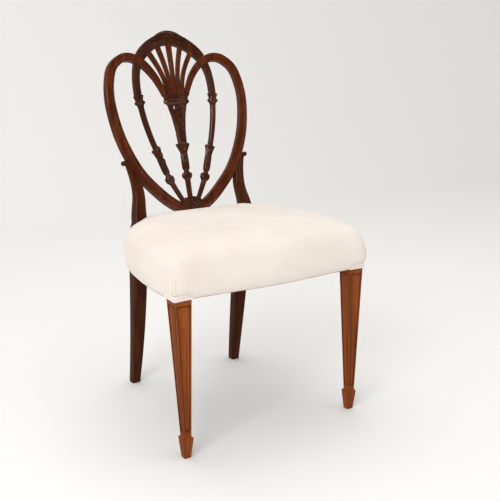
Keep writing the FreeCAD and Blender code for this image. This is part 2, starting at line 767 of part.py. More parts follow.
def build_back():
    """Every piece of the back above the seat, with the right-hand one of each pair, and its pegs."""
    base, side, lobe = make_heart()
    side_bar = make_side_bar()
    arch, limb = make_arch(lobe, side_bar)
    splat = make_splat(arch)
    rosette = cut_by(make_rosette(), base, splat)
    side_bar = cut_by(side_bar, rosette, splat, base)
    lobe = cut_by(lobe, splat)
    rear_leg = cut_by(make_rear_leg(), side)
    pegs = [
        heart_line.peg(heart_base_end, peg_width, peg_length),
        heart_line.peg(heart_side_end, peg_width, peg_length),
        arch_line.peg(arch_joint, peg_width * 0.7, peg_length * 1.4),
        side_bar_line.peg(0, peg_width * 0.7, peg_length),
    ]
    base = cut_by(base, splat, pegs[0], mirrored(pegs[0]))
    side, lobe, limb, side_bar = [cut_by(piece, *pegs) for piece in (side, lobe, limb, side_bar)]
    arch = cut_by(arch, pegs[2], mirrored(pegs[2]))
    single = {"shield_base": base, "crest_arch": arch, "centre_splat": splat, "base_rosette": rosette}
    paired = {"shield_side": side, "shield_lobe": lobe, "arch_limb": limb, "side_bar": side_bar}
    return single, paired, rear_leg, pegs


def main():
    os.makedirs("parts", exist_ok=True)
    single, paired, rear_leg, pegs = build_back()
    front_leg = make_front_leg()
    front, side, back = make_rails(front_leg, rear_leg)
    front_leg = cut_by(front_leg, front, side)
    rear_leg = cut_by(rear_leg, side, back)
    rails = (front, side, back)
    blocks = make_corner_blocks(rails, front_leg, rear_leg)
    legs = [front_leg, mirrored(front_leg), rear_leg, mirrored(rear_leg)]
    hessian, stuffing, wadding, cover = make_seat(legs, single["shield_base"])
    long_straps, cross_straps = make_webbing()
    dust_cover, tacks = make_dust_cover(legs)
    tacked = {"front_rail": front, "back_rail": back, "dust_cover": dust_cover}
    for tack in tacks:
        side = side.cut(tack)
        tacked = {name: piece.cut(tack) for name, piece in tacked.items()}
    single.update(tacked)
    single.update({
        "seat_hessian": hessian, "seat_stuffing": stuffing, "rail_wadding": wadding, "seat_cover": cover,
        "webbing_long": long_straps, "webbing_cross": cross_straps, "dust_cover_tacks": tacks,
        "back_pegs": pegs + [mirrored(peg) for peg in pegs],
    })
    paired.update({
        "front_leg": front_leg, "rear_leg": rear_leg, "side_rail": side, "front_block": blocks[0],
        "rear_block": blocks[1], "leg_piping": make_leg_piping(),
    })
    nodes = {}
    for name, piece in single.items():
        nodes[name] = piece if isinstance(piece, list) else [largest(piece)]
    for name, piece in paired.items():
        nodes[name + "_right"] = piece if isinstance(piece, list) else [largest(piece)]
        nodes[name + "_left"] = [mirrored(solid) for solid in nodes[name + "_right"]]
    shift = Vector(0, -middle_of(nodes["seat_cover"] + nodes["crest_arch"] + nodes["rear_leg_right"]), 0)
    print("moved back by", round(shift.y, 3))
    for name, solids in nodes.items():
        export(name, solids, shift)


main()
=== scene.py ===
# %% [markdown]
# # Shield back chair
#
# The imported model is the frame, and this scene dresses it: carved and moulded mahogany for the back,
# a stuffed seat whose cover is settled by a cloth simulation, and materials for what stays as it is.
# Sizes are in metres. The chair faces -Y, and its back leans towards +Y.

# %% Start and load the frame
import math

import bmesh
import bpy
from mathutils import Matrix, Vector
from mathutils.bvhtree import BVHTree


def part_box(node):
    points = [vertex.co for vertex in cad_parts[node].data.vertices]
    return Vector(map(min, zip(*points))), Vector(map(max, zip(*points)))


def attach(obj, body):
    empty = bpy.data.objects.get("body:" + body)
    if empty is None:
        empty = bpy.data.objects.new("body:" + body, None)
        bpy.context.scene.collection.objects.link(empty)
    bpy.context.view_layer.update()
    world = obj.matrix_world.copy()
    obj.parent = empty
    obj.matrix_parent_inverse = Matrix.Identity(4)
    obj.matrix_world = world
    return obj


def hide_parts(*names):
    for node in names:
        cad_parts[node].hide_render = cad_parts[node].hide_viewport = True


bpy.ops.wm.read_factory_settings(use_empty=True)

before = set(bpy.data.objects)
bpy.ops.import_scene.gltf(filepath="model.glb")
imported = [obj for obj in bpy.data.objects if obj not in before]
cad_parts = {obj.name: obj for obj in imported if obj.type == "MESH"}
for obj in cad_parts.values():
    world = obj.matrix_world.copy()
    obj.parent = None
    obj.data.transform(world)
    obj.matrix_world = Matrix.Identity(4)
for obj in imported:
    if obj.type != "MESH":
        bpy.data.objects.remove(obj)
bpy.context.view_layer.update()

# %% [markdown]
# Main sizes, the same ones that the solids are made from. Every solid was moved along Y by one small
# step at the end, so that the chair stands centred. The foot of a front leg tells how far.

# %% Sizes
SEAT = 0.385                            # underside of the rails
RAILS = 0.447                           # top of the rails
BACK = 0.1345                           # middle of the back, behind the origin, at the rails' top
RAKE = math.tan(math.radians(15.7))     # how steeply the back leans
DISH = 0.016                            # how far the sides of the back come forward
HALF = 0.201                            # half width of the shield
FOOT = 0.485                            # height where the shield starts
HEIGHT = 0.4145                         # from there to the top of its lobes
THICK = 0.020                           # of the shield
ARCH_BACK = 0.0035                      # how far the arch lies behind the shield's face
COLLAR = 0.760                          # height of the capitals, as a share of the shield's height
SPADE_FRONT = 0.270                     # front of the front legs' feet, before the solids were moved
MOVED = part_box("front_leg_right")[0].y + SPADE_FRONT
print("moved by", round(MOVED, 5))

# %% [markdown]
# ## Camera, light and room
#
# The camera stands where the photograph's did. The floor runs up into a wall far behind, so no horizon
# shows beyond the chair from there.

# %% Camera
LEFT_OF_Y, DOWN, ROLL = math.radians(-32.51), math.radians(14.37), math.radians(0.12)

camera = bpy.data.objects.new("camera", bpy.data.cameras.new("camera"))
bpy.context.scene.collection.objects.link(camera)
camera.data.sensor_width = 36
camera.data.lens = 55.54
camera.location = (-0.9919, -1.7040, 0.9133)
turn = Matrix.Rotation(LEFT_OF_Y, 4, "Z") @ Matrix.Rotation(math.pi / 2 - DOWN, 4, "X")
camera.rotation_euler = (turn @ Matrix.Rotation(ROLL, 4, "Z")).to_euler()
bpy.context.scene.camera = camera
bpy.context.scene.view_settings.view_transform = "Standard"
print("camera at", tuple(camera.location))

# %% Room
ROOM_HALF, ROOM_WIDER = 9, 1.5          # half depth of the floor, and how many times wider it is
RISE_FROM, RISE_BEND = 2.2, 1.6         # where the floor starts to rise, and the radius of its bend


def room():
    """A floor that runs up into a wall, as one sheet."""
    bm = bmesh.new()
    bmesh.ops.create_grid(bm, x_segments=2, y_segments=120, size=ROOM_HALF)
    for vert in bm.verts:
        beyond = vert.co.y - RISE_FROM
        vert.co.x *= ROOM_WIDER
        if beyond > 0:
            angle = min(beyond / RISE_BEND, math.pi / 2)
            up = max(beyond - RISE_BEND * math.pi / 2, 0)
            vert.co.y = RISE_FROM + RISE_BEND * math.sin(angle)
            vert.co.z = RISE_BEND * (1 - math.cos(angle)) + up
    mesh = bpy.data.meshes.new("room")
    bm.to_mesh(mesh)
    bm.free()
    for face in mesh.polygons:
        face.use_smooth = True
    sheet = bpy.data.objects.new("room", mesh)
    bpy.context.scene.collection.objects.link(sheet)
    return sheet


floor = room()
print("room", len(floor.data.polygons), "faces")

# %% [markdown]
# A large lamp on the left is the key light, a weak one on the right fills the shade, and one above
# keeps the seat's crown soft. The world gives the rest. Its light is far weaker for glossy rays, since a
# white room that mirrors in the polish would wash the red out of the timber.

# %% Lamps and world
LAMPS = {
    "key": ((-2.3, -1.7, 2.3), (0.0, 0.0, 0.5), (1.6, 1.2), 38),
    "fill": ((2.6, -2.2, 1.5), (0.1, 0.0, 0.5), (2.0, 1.6), 3.5),
    "top": ((0.2, 0.6, 3.0), (0.0, 0.1, 0.4), (2.4, 2.0), 18),
}
WORLD_COLOUR = (1.0, 0.985, 0.965, 1)
WORLD_LIGHT, WORLD_IN_POLISH = 0.77, 0.07


def lamp(name, place, aim, size, power):
    data = bpy.data.lights.new(name, "AREA")
    data.shape = "RECTANGLE"
    data.size, data.size_y = size
    data.energy = power
    holder = bpy.data.objects.new(name, data)
    holder.location = place
    holder.rotation_euler = (Vector(aim) - Vector(place)).to_track_quat("-Z", "Y").to_euler()
    bpy.context.scene.collection.objects.link(holder)


def daylight():
    world = bpy.data.worlds.new("world")
    world.use_nodes = True
    nodes, links = world.node_tree.nodes, world.node_tree.links
    sky = nodes["Background"]
    sky.inputs["Color"].default_value = WORLD_COLOUR
    rays = nodes.new("ShaderNodeLightPath")
    dimmed = nodes.new("ShaderNodeMapRange")
    dimmed.inputs["To Min"].default_value = WORLD_LIGHT
    dimmed.inputs["To Max"].default_value = WORLD_IN_POLISH
    links.new(rays.outputs["Is Glossy Ray"], dimmed.inputs["Value"])
    links.new(dimmed.outputs["Result"], sky.inputs["Strength"])
    return world


for name, values in LAMPS.items():
    lamp(name, *values)
bpy.context.scene.world = daylight()
print(len(LAMPS), "lamps and the world")

# %% [markdown]
# ## Materials
#
# Two effects are shared. Grain draws long fibres and fine pores along one axis of the timber, and
# weave draws the crossing threads of cloth on a face that looks any way.

# %% Node helpers
COLOUR_A, COLOUR_B, COLOUR_OUT = 6, 7, 2    # places of a Mix node's colour sockets


def link(tree, start, end):
    tree.links.new(start, end)


def node(tree, kind, **values):
    """A node with its settings, or else its inputs, set by name."""
    made = tree.nodes.new(kind)
    for key, value in values.items():
        if hasattr(made, key):
            setattr(made, key, value)
        else:
            made.inputs[key.replace("_", " ")].default_value = value
    return made


def group(name, inputs, outputs):
    """An empty node group with its named inputs and its outputs of plain values."""
    tree = bpy.data.node_groups.new(name, "ShaderNodeTree")
    for label, kind, default in inputs:
        socket = tree.interface.new_socket(label, in_out="INPUT", socket_type=kind)
        if default is not None:
            socket.default_value = default
    for label in outputs:
        tree.interface.new_socket(label, in_out="OUTPUT", socket_type="NodeSocketFloat")
    return tree, tree.nodes.new("NodeGroupInput"), tree.nodes.new("NodeGroupOutput")


print("node helpers ready")

# %% Grain
PORES_FROM, PORES_TO = 0.52, 0.68       # the part of the noise that shows as pores


def grain_group():
    tree, source, out = group(
        "Grain",
        [("Vector", "NodeSocketVector", None), ("Stretch", "NodeSocketVector", (1.0, 1.0, 0.06))],
        ["Figure", "Pores"],
    )
    pull = node(tree, "ShaderNodeVectorMath", operation="MULTIPLY")
    link(tree, source.outputs["Vector"], pull.inputs[0])
    link(tree, source.outputs["Stretch"], pull.inputs[1])
    figure = node(tree, "ShaderNodeTexNoise", Scale=58.0, Detail=6.0, Roughness=0.62, Distortion=0.4)
    pores = node(tree, "ShaderNodeTexNoise", Scale=620.0, Detail=2.0, Roughness=0.7)
    sharp = node(tree, "ShaderNodeMapRange")
    sharp.inputs["From Min"].default_value = PORES_FROM
    sharp.inputs["From Max"].default_value = PORES_TO
    for texture in (figure, pores):
        link(tree, pull.outputs["Vector"], texture.inputs["Vector"])
    link(tree, pores.outputs["Fac"], sharp.inputs["Value"])
    link(tree, figure.outputs["Fac"], out.inputs["Figure"])
    link(tree, sharp.outputs["Result"], out.inputs["Pores"])
    return tree


GRAIN = grain_group()
print("group", GRAIN.name)

# %% Weave
BANDS = 0.314                           # at this scale a wave texture repeats once per unit


def weave_group():
    tree, source, out = group(
        "Weave",
        [("Vector", "NodeSocketVector", None), ("Pitch", "NodeSocketFloat", 0.0008)],
        ["Threads", "Cloud"],
    )
    scaled = node(tree, "ShaderNodeVectorMath", operation="DIVIDE")
    every = node(tree, "ShaderNodeCombineXYZ")
    for axis in "XYZ":
        link(tree, source.outputs["Pitch"], every.inputs[axis])
    link(tree, source.outputs["Vector"], scaled.inputs[0])
    link(tree, every.outputs["Vector"], scaled.inputs[1])
    total = None
    for axis in "XYZ":
        wave = node(tree, "ShaderNodeTexWave", bands_direction=axis, Scale=BANDS, Distortion=0.6)
        wave.inputs["Detail"].default_value = 1.0
        link(tree, scaled.outputs["Vector"], wave.inputs["Vector"])
        if total is None:
            total = wave.outputs["Fac"]
        else:
            added = node(tree, "ShaderNodeMath", operation="ADD")
            link(tree, total, added.inputs[0])
            link(tree, wave.outputs["Fac"], added.inputs[1])
            total = added.outputs["Value"]
    mean = node(tree, "ShaderNodeMath", operation="MULTIPLY")
    mean.inputs[1].default_value = 1 / 3
    link(tree, total, mean.inputs[0])
    cloud = node(tree, "ShaderNodeTexNoise", Scale=9.0, Detail=3.0)
    link(tree, source.outputs["Vector"], cloud.inputs["Vector"])
    link(tree, mean.outputs["Value"], out.inputs["Threads"])
    link(tree, cloud.outputs["Fac"], out.inputs["Cloud"])
    return tree


WEAVE = weave_group()
print("group", WEAVE.name)

# %% Parts of a material
def blank(name):
    material = bpy.data.materials.new(name)
    material.use_nodes = True
    tree = material.node_tree
    return material, tree, tree.nodes["Principled BSDF"]


def effect(tree, shared, **values):
    """A shared group with its own values, on Object coordinates."""
    used = node(tree, "ShaderNodeGroup")
    used.node_tree = shared
    for key, value in values.items():
        used.inputs[key].default_value = value
    place = node(tree, "ShaderNodeTexCoord")
    link(tree, place.outputs["Object"], used.inputs["Vector"])
    return used


def ramp(tree, source, stops):
    """Colours that follow a value, from stops of a place and a colour."""
    made = node(tree, "ShaderNodeValToRGB")
    elements = made.color_ramp.elements
    while len(elements) < len(stops):
        elements.new(0.5)
    for element, (at, colour) in zip(elements, stops):
        element.position = at
        element.color = (*colour, 1)
    link(tree, source, made.inputs["Fac"])
    return made.outputs["Color"]


def bump(tree, shader, height, distance, strength=1.0):
    made = node(tree, "ShaderNodeBump", Strength=strength, Distance=distance)
    link(tree, height, made.inputs["Height"])
    link(tree, made.outputs["Normal"], shader.inputs["Normal"])


print("material parts ready")

# %% [markdown]
# Timber takes its colour from the figure, and the pores darken it. The figure also makes the polish a
# little duller here and there. Cloth takes its tone from the threads and from a slow cloud.

# %% Timber, cloth and steel
FIGURE_STOPS = (0.18, 0.50, 0.86)
PORE_INK = (0.55, 0.5, 0.48)
SMOOTHER, DULLER = 0.05, 0.09           # how far the figure moves the roughness
REFLECTION, REFLECTION_TINT = 0.28, (1.0, 0.74, 0.52, 1)
COAT_ROUGHNESS = 0.12
THREAD_SHARE = 0.16                     # of the threads in a cloth's tone, beside the cloud


def timber(name, colours, stretch, rough, coat):
    material, tree, shader = blank(name)
    grain = effect(tree, GRAIN, Stretch=stretch)
    colour = ramp(tree, grain.outputs["Figure"], list(zip(FIGURE_STOPS, colours)))
    ink = ramp(tree, grain.outputs["Pores"], [(0.0, (1, 1, 1)), (1.0, PORE_INK)])
    mix = node(tree, "ShaderNodeMix", data_type="RGBA", blend_type="MULTIPLY")
    mix.inputs["Factor"].default_value = 0.8
    link(tree, colour, mix.inputs[COLOUR_A])
    link(tree, ink, mix.inputs[COLOUR_B])
    link(tree, mix.outputs[COLOUR_OUT], shader.inputs["Base Color"])
    dull = node(tree, "ShaderNodeMapRange")
    dull.inputs["To Min"].default_value = rough - SMOOTHER
    dull.inputs["To Max"].default_value = rough + DULLER
    link(tree, grain.outputs["Figure"], dull.inputs["Value"])
    link(tree, dull.outputs["Result"], shader.inputs["Roughness"])
    shader.inputs["Specular IOR Level"].default_value = REFLECTION
    shader.inputs["Specular Tint"].default_value = REFLECTION_TINT
    shader.inputs["Coat Weight"].default_value = coat
    shader.inputs["Coat Roughness"].default_value = COAT_ROUGHNESS
    bump(tree, shader, grain.outputs["Pores"], -0.00006, 0.5)
    return material


def cloth(name, colours, pitch, rough, sheen, relief):
    material, tree, shader = blank(name)
    weave = effect(tree, WEAVE, Pitch=pitch)
    tone = node(tree, "ShaderNodeMath", operation="MULTIPLY_ADD")
    link(tree, weave.outputs["Threads"], tone.inputs[0])
    tone.inputs[1].default_value = THREAD_SHARE
    link(tree, weave.outputs["Cloud"], tone.inputs[2])
    colour = ramp(tree, tone.outputs["Value"], list(zip((0.30, 0.80), colours)))
    link(tree, colour, shader.inputs["Base Color"])
    shader.inputs["Roughness"].default_value = rough
    shader.inputs["Sheen Weight"].default_value = sheen
    shader.inputs["Sheen Roughness"].default_value = 0.5
    bump(tree, shader, weave.outputs["Threads"], relief)
    return material


def steel(name):
    material, tree, shader = blank(name)
    grain = effect(tree, GRAIN, Stretch=(1.0, 1.0, 1.0))
    tint = ramp(tree, grain.outputs["Figure"], [(0.3, (0.22, 0.21, 0.20)), (0.7, (0.42, 0.41, 0.39))])
    link(tree, tint, shader.inputs["Base Color"])
    shader.inputs["Metallic"].default_value = 1.0
    shader.inputs["Roughness"].default_value = 0.42
    bump(tree, shader, grain.outputs["Pores"], 0.00003)
    return material


print("makers ready")

# %% [markdown]
# The chair's mahogany is lightest on the front legs. The carving and the rear legs get darker copies of it,
# which are painted shade: in the carving's hollows and on the rear legs. The rails and blocks are beech,
# which the cover hides.

# %% Materials of the chair
UPRIGHT, ACROSS, DEEP = (1.0, 1.0, 0.06), (0.06, 1.0, 1.0), (1.0, 0.06, 1.0)
RED = (0.022, 0.0032, 0.0005), (0.094, 0.0140, 0.0010), (0.205, 0.040, 0.0042)
# A darker copy of RED for the rear legs: painted shade.
REAR_SHADED_RED = (0.015, 0.0024, 0.0005), (0.060, 0.0105, 0.0010), (0.130, 0.028, 0.0036)
# A darker, browner copy of RED for the carving: painted shade in its hollows.
CARVED_SHADED_RED = (0.018, 0.0042, 0.0016), (0.058, 0.0125, 0.0038), (0.130, 0.034, 0.0100)
LEG_RED = (0.092, 0.0165, 0.0024), (0.262, 0.058, 0.0085), (0.455, 0.130, 0.025)
BEECH = (0.33, 0.20, 0.105), (0.50, 0.33, 0.18), (0.62, 0.44, 0.26)
CREAM = (0.80, 0.708, 0.635), (0.876, 0.802, 0.743)
JUTE = (0.28, 0.19, 0.10), (0.55, 0.42, 0.25)
BLACK = (0.010, 0.010, 0.010), (0.045, 0.043, 0.042)
THREAD = (0.58, 0.49, 0.41), (0.74, 0.64, 0.55)

mahogany = timber("mahogany_upright", RED, UPRIGHT, 0.26, 0.6)
mahogany_across = timber("mahogany_across", RED, ACROSS, 0.26, 0.6)
# The rear legs' mahogany is darker than the rest: painted shade.
mahogany_shaded = timber("mahogany_shaded", REAR_SHADED_RED, UPRIGHT, 0.30, 0.25)
# The carving's mahogany is darker than the rest: painted shade in its hollows.
mahogany_carved_shaded = timber("mahogany_carved_shaded", CARVED_SHADED_RED, UPRIGHT, 0.28, 0.6)
mahogany_leg = timber("mahogany_leg", LEG_RED, UPRIGHT, 0.30, 0.3)
beech = timber("beech_upright", BEECH, UPRIGHT, 0.62, 0.0)
beech_across = timber("beech_across", BEECH, ACROSS, 0.62, 0.0)
beech_deep = timber("beech_deep", BEECH, DEEP, 0.62, 0.0)
cover_cloth = cloth("cover_cloth", CREAM, 0.0009, 0.88, 0.22, 0.00003)
jute = cloth("jute", JUTE, 0.0022, 0.95, 0.1, 0.0004)
lining = cloth("lining", BLACK, 0.0007, 0.9, 0.15, 0.00006)
seam_thread = cloth("seam_thread", THREAD, 0.0006, 0.9, 0.1, 0.0001)
bright_steel = steel("tack_steel")
print("materials", len(bpy.data.materials))

# %% Paper of the room
PALER, PALEST = (0.925, 0.921, 0.908), (0.943, 0.939, 0.930)
PAPER_IN_POLISH = (0.25, 0.23, 0.21, 1)     # how much of its colour the paper keeps in a reflection


def room_paper():
    material, tree, shader = blank("room_paper")
    spot = node(tree, "ShaderNodeTexCoord")
    mottle = node(tree, "ShaderNodeTexNoise", Scale=0.4)
    link(tree, spot.outputs["Object"], mottle.inputs["Vector"])
    pale = ramp(tree, mottle.outputs["Fac"], [(0.3, PALER), (0.7, PALEST)])
    seen = node(tree, "ShaderNodeMix", data_type="RGBA", blend_type="MULTIPLY")
    seen.inputs[COLOUR_B].default_value = PAPER_IN_POLISH
    rays = node(tree, "ShaderNodeLightPath")
    link(tree, rays.outputs["Is Glossy Ray"], seen.inputs["Factor"])
    link(tree, pale, seen.inputs[COLOUR_A])
    link(tree, seen.outputs[COLOUR_OUT], shader.inputs["Base Color"])
    shader.inputs["Roughness"].default_value = 0.95
    return material


floor.data.materials.append(room_paper())
print("floor covered")

# %% [markdown]
# ## Helpers for the back
#
# The back is one dished, leaning surface. A line on it is a few stations of share of the half width,
# share of the height and width, and a moulding is a section carried along the line.

# %% Places on the back
def lean(x, z):
    return BACK + RAKE * (z - RAILS) - DISH * (x / HALF) ** 2 + MOVED


def forward_at(x):
    """Straight out of the back's face at x."""
    return Vector((-2 * DISH * x / HALF**2, -1, RAKE)).normalized()


def on_back(x, z, out=0.0):
    return Vector((x, lean(x, z), z)) + forward_at(x) * out


def axes_at(x, angle):
    """Across, forward and along for a leaf on the back whose tip points at the angle from upright."""
    forward = forward_at(x)
    right = Vector((1, 0, 0))
    right = (right - forward * right.dot(forward)).normalized()
    up = right.cross(forward)
    up = -up if up.z < 0 else up
    along = up * math.cos(angle) + right * math.sin(angle)
    return along.cross(forward), forward, along


print("back's face at its foot", [round(v, 4) for v in on_back(0, FOOT)])

# %% Lines on the back
STEPS = 7                               # places between two stations of a line


def between(p, q, r, s, t):
    """A smooth value at share t of the way from q to r, with p before them and s after them."""
    bend = 2 * p - 5 * q + 4 * r - s
    twist = 3 * q - p - 3 * r + s
    return 0.5 * (2 * q + (r - p) * t + bend * t**2 + twist * t**3)


def smooth_line(stations, steps=STEPS):
    """A smooth run through the stations, with a few steps between each pair."""
    ends = [stations[0], *stations, stations[-1]]
    run = []
    for four in zip(ends, ends[1:], ends[2:], ends[3:]):
        for step in range(steps):
            run.append([between(*values, step / steps) for values in zip(*four)])
    return run + [list(stations[-1])]


def drawn(shares, steps=STEPS):
    """A smooth line of x, z and width in metres from shares and a width in millimetres."""
    return [(u * HALF, FOOT + v * HEIGHT, w / 1000) for u, v, w in smooth_line(shares, steps)]


def frames_of(line):
    """Point, sideways, forward and width at each place of a line on the back."""
    frames = []
    for i, (x, z, width) in enumerate(line):
        before, after = line[max(i - 1, 0)], line[min(i + 1, len(line) - 1)]
        along = (on_back(*after[:2]) - on_back(*before[:2])).normalized()
        forward = forward_at(x)
        frames.append((on_back(x, z), along.cross(forward).normalized(), forward, width))
    return frames


print("lines ready")

# %% Sweeping shapes
def around(count):
    """Angles of a full turn."""
    return [2 * math.pi * i / count for i in range(count)]


def ring_of(bm, points):
    verts = [bmesh.ops.create_vert(bm, co=point)["vert"][0] for point in points]
    return [bm.edges.new((verts[i - 1], verts[i])) for i in range(len(verts))]


def skin(bm, rings):
    """Bridge a row of outlines and close the two ends."""
    loops = [ring_of(bm, points) for points in rings]
    for near, far in zip(loops, loops[1:]):
        bmesh.ops.bridge_loops(bm, edges=near + far)
    bmesh.ops.holes_fill(bm, edges=loops[0] + loops[-1], sides=0)


def sweep(bm, frames, section):
    """Carry a section along frames. The section gives offsets sideways and forward for a width."""
    rings = []
    for point, side, forward, width in frames:
        rings.append([point + side * a + forward * b for a, b in section(width)])
    skin(bm, rings)


def boss(bm, start, axes, radius, profile, angles):
    """A turned boss that stands forward, from shares of the radius and how far each stands out."""
    across, forward, up = axes
    rings = []
    for share, stand in profile:
        spokes = [(across * math.cos(a) + up * math.sin(a)) * radius * share for a in angles]
        rings.append([start + forward * stand + spoke for spoke in spokes])
    skin(bm, rings)


print("sweeps ready")

# %% Beads and leaves
def ball(bm, place, axes, sizes, fine=2):
    """A smooth bead with its own half sizes along three axes."""
    turned = Matrix([[axis[i] for axis in axes] for i in range(3)]).to_4x4()
    whole = Matrix.Translation(place) @ turned @ Matrix.Diagonal((*sizes, 1))
    bmesh.ops.create_icosphere(bm, subdivisions=fine, radius=1, matrix=whole)


def leaf(bm, x, z, angle, length, width, out, relief=0.0022):
    """A carved leaf that starts at x, z and points at the angle, with a raised middle vein."""
    axes = axes_at(x, angle)
    _, forward, along = axes
    middle = on_back(x, z, out) + along * (length / 2)
    ball(bm, middle, axes, (width / 2, relief, length / 2))
    vein = (width / 9, relief * 0.8, length * 0.42)
    ball(bm, middle + forward * relief * 0.6, axes, vein, 1)


print("beads and leaves ready")

# %% [markdown]
# A finished piece has its doubles merged and its normals made to point out. It is shaded smooth but for
# its sharp edges, and the solids that it stands for are hidden. Left pieces are mirrored from right ones.

# %% Finishing a piece
SHARP = math.radians(38)


def finish(name, bm, material, replaced):
    bmesh.ops.remove_doubles(bm, verts=bm.verts, dist=1e-6)
    bmesh.ops.recalc_face_normals(bm, faces=bm.faces)
    mesh = bpy.data.meshes.new(name)
    bm.to_mesh(mesh)
    bm.free()
    mesh.materials.append(material)
    piece = bpy.data.objects.new(name, mesh)
    bpy.context.scene.collection.objects.link(piece)
    mesh.shade_smooth()
    mesh.set_sharp_from_angle(angle=SHARP)
    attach(piece, "root")
    if replaced:
        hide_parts(*replaced)
    print(name, len(mesh.polygons), "faces")
    return piece


def both_sides(name, build, material, replaced):
    """Build a right-hand piece and its mirror image."""
    for end, sign in (("right", 1), ("left", -1)):
        bm = bmesh.new()
        build(bm)
        if sign < 0:
            bmesh.ops.scale(bm, vec=(-1, 1, 1), verts=bm.verts)
        finish(name + "_" + end, bm, material, [solid + "_" + end for solid in replaced])


print("finishing ready")

# %% [markdown]
# ## Sections
#
# The shield's moulding has a flat back, a bead at each edge, a quirk inside it and a crowned middle. The
# arch is reeded, and the bars are oval with a flat back and a front worked into soft lobes.

# %% Sections
EASE, BEAD, QUIRK, CROWNED = 0.0018, 0.0024, 0.0010, 0.0012
BEAD_CHORDS, CROWN_CHORDS, REED_CHORDS = 5, 8, 6
REED_DEPTH = 0.0022
OVAL_SIDES, LOBES, FLAT_BACK = 32, 3.5, -0.78


def arch_of(start, end, low, rise, count):
    """Places over a low arch from start to end, both ends left out."""
    places = []
    for i in range(1, count):
        share = i / count
        places.append((start + (end - start) * share, low + rise * math.sin(math.pi * share)))
    return places


def moulded(width):
    half, deep, bead = width / 2, THICK / 2, min(BEAD, width * 0.13)
    low = deep - QUIRK
    section = [(-half, low), (-half, EASE - deep), (EASE - half, -deep)]
    section += [(half - EASE, -deep), (half, EASE - deep), (half, low)]
    section += arch_of(half, half - bead, low, QUIRK, BEAD_CHORDS)
    section += [(half - bead, low)]
    section += arch_of(half - bead, bead - half, low, QUIRK + CROWNED, CROWN_CHORDS)
    section += [(bead - half, low)]
    return section + arch_of(bead - half, -half, low, QUIRK, BEAD_CHORDS)


def reeded(thickness, setback, reeds):
    """A section with some reeds side by side, set back from the shield's face."""
    def section(width):
        front = THICK / 2 - setback
        reed = width / reeds
        low = front - min(reed * 0.16, REED_DEPTH)
        places = [(-width / 2, low), (-width / 2, front - thickness), (width / 2, front - thickness)]
        for i in range(reeds):
            right = width / 2 - i * reed
            places.append((right, low))
            places += arch_of(right, right - reed, low, front - low, REED_CHORDS)
        return places
    return section


def carved_ring(width, thickness, flutes):
    places = []
    for angle in around(OVAL_SIDES):
        in_front = 1 if math.sin(angle) > 0 else 0
        swell = 1 + flutes * (abs(math.sin(angle * LOBES)) - 1) * in_front
        a = math.copysign(abs(math.cos(angle)) ** 0.85, math.cos(angle)) * swell
        b = math.sin(angle) * swell
        places.append((a * width / 2, max(b, FLAT_BACK) * thickness / 2))
    return places


print("moulding of", len(moulded(0.028)), "sides")

# %% [markdown]
# ## The heart-shaped shield
#
# One line goes from the foot of the heart out to the side, over the lobe and down to the splat. It is
# cut where the real timber is jointed: a base, two sides and two lobes.

# %% Shield
HEART = [
    (0.0, 0.0, 28), (0.239, 0.055, 28), (0.448, 0.135, 28), (0.692, 0.265, 27), (0.856, 0.413, 26),
    (0.960, 0.571, 24.5), (1.0, 0.753, 22.5), (0.935, 0.910, 22), (0.796, 0.982, 22), (0.657, 1.0, 22),
    (0.517, 0.983, 21), (0.398, 0.942, 18.5), (0.284, 0.876, 15), (0.204, 0.803, 11.5), (0.166, 0.758, 9.5),
]
BASE_END, SIDE_END, LOBE_END = 1, 7, len(HEART) - 1     # stations where the joints are

left_heart = [(-u, v, w) for u, v, w in reversed(HEART[1:])]
heart_frames = frames_of(drawn(left_heart + HEART))
heart_foot = len(left_heart) * STEPS


def heart_part(first, last):
    return heart_frames[heart_foot + first * STEPS:heart_foot + last * STEPS + 1]


def shield_side(bm):
    sweep(bm, heart_part(BASE_END, SIDE_END), moulded)


def shield_lobe(bm):
    sweep(bm, heart_part(SIDE_END, LOBE_END), moulded)


bm = bmesh.new()
sweep(bm, heart_part(-BASE_END, BASE_END), moulded)
finish("shield_base_moulded", bm, mahogany_across, ["shield_base"])
both_sides("shield_side_moulded", shield_side, mahogany, ["shield_side"])
both_sides("shield_lobe_moulded", shield_lobe, mahogany, ["shield_lobe"])

# %% [markdown]
# ## The crest arch and its limbs
#
# The arch is reeded and set back a little behind the lobes that it crosses. A carved spray stands on
# its middle: leaves that open from the centre and lie down along the arch.

# %% Arch line
ARCH = [
    (0.159, 1.104, 31), (0.299, 1.071, 30), (0.418, 1.023, 28), (0.493, 0.972, 22), (0.542, 0.910, 18),
    (0.565, 0.837, 17), (0.567, 0.750, 17),
]
ARCH_TOP = (0.0, 1.115, 31)
CREST = [(-0.229, 1.116, 8), (-0.119, 1.137, 17), (0.0, 1.146, 20), (0.119, 1.137, 17), (0.229, 1.116, 8)]
ARCH_THICK, CROSSING, REEDS = 0.015, 4, 3
CREST_PROUD = 0.002                     # how far the raised crest stands before the arch
ARCH_FRONT = THICK / 2 - ARCH_BACK
PEARL, PEARL_PITCH = (0.0017, 0.0013, 0.0017), 0.0042

arch_frames = frames_of(drawn([(-u, v, w) for u, v, w in reversed(ARCH)] + [ARCH_TOP] + ARCH))
arch_middle = len(ARCH) * STEPS
arch_reeds = reeded(ARCH_THICK, ARCH_BACK, REEDS)


def pearls(bm, path, aside):
    """A row of small beads along the face of the arch, at a share of its width from the middle."""
    gone = 0.0
    places = [point + side * width * aside + forward * ARCH_FRONT for point, side, forward, width in path]
    for (near, far), (_, side, forward, _) in zip(zip(places, places[1:]), path):
        span = (far - near).length
        while gone < span:
            ball(bm, near.lerp(far, gone / span), (side, forward, side.cross(forward)), PEARL, 1)
            gone += PEARL_PITCH
        gone -= span


print("arch of", len(arch_frames), "places")

# %% Crest arch
LEAF_WIDE, LEAF_RELIEF = 0.0050, 0.0034


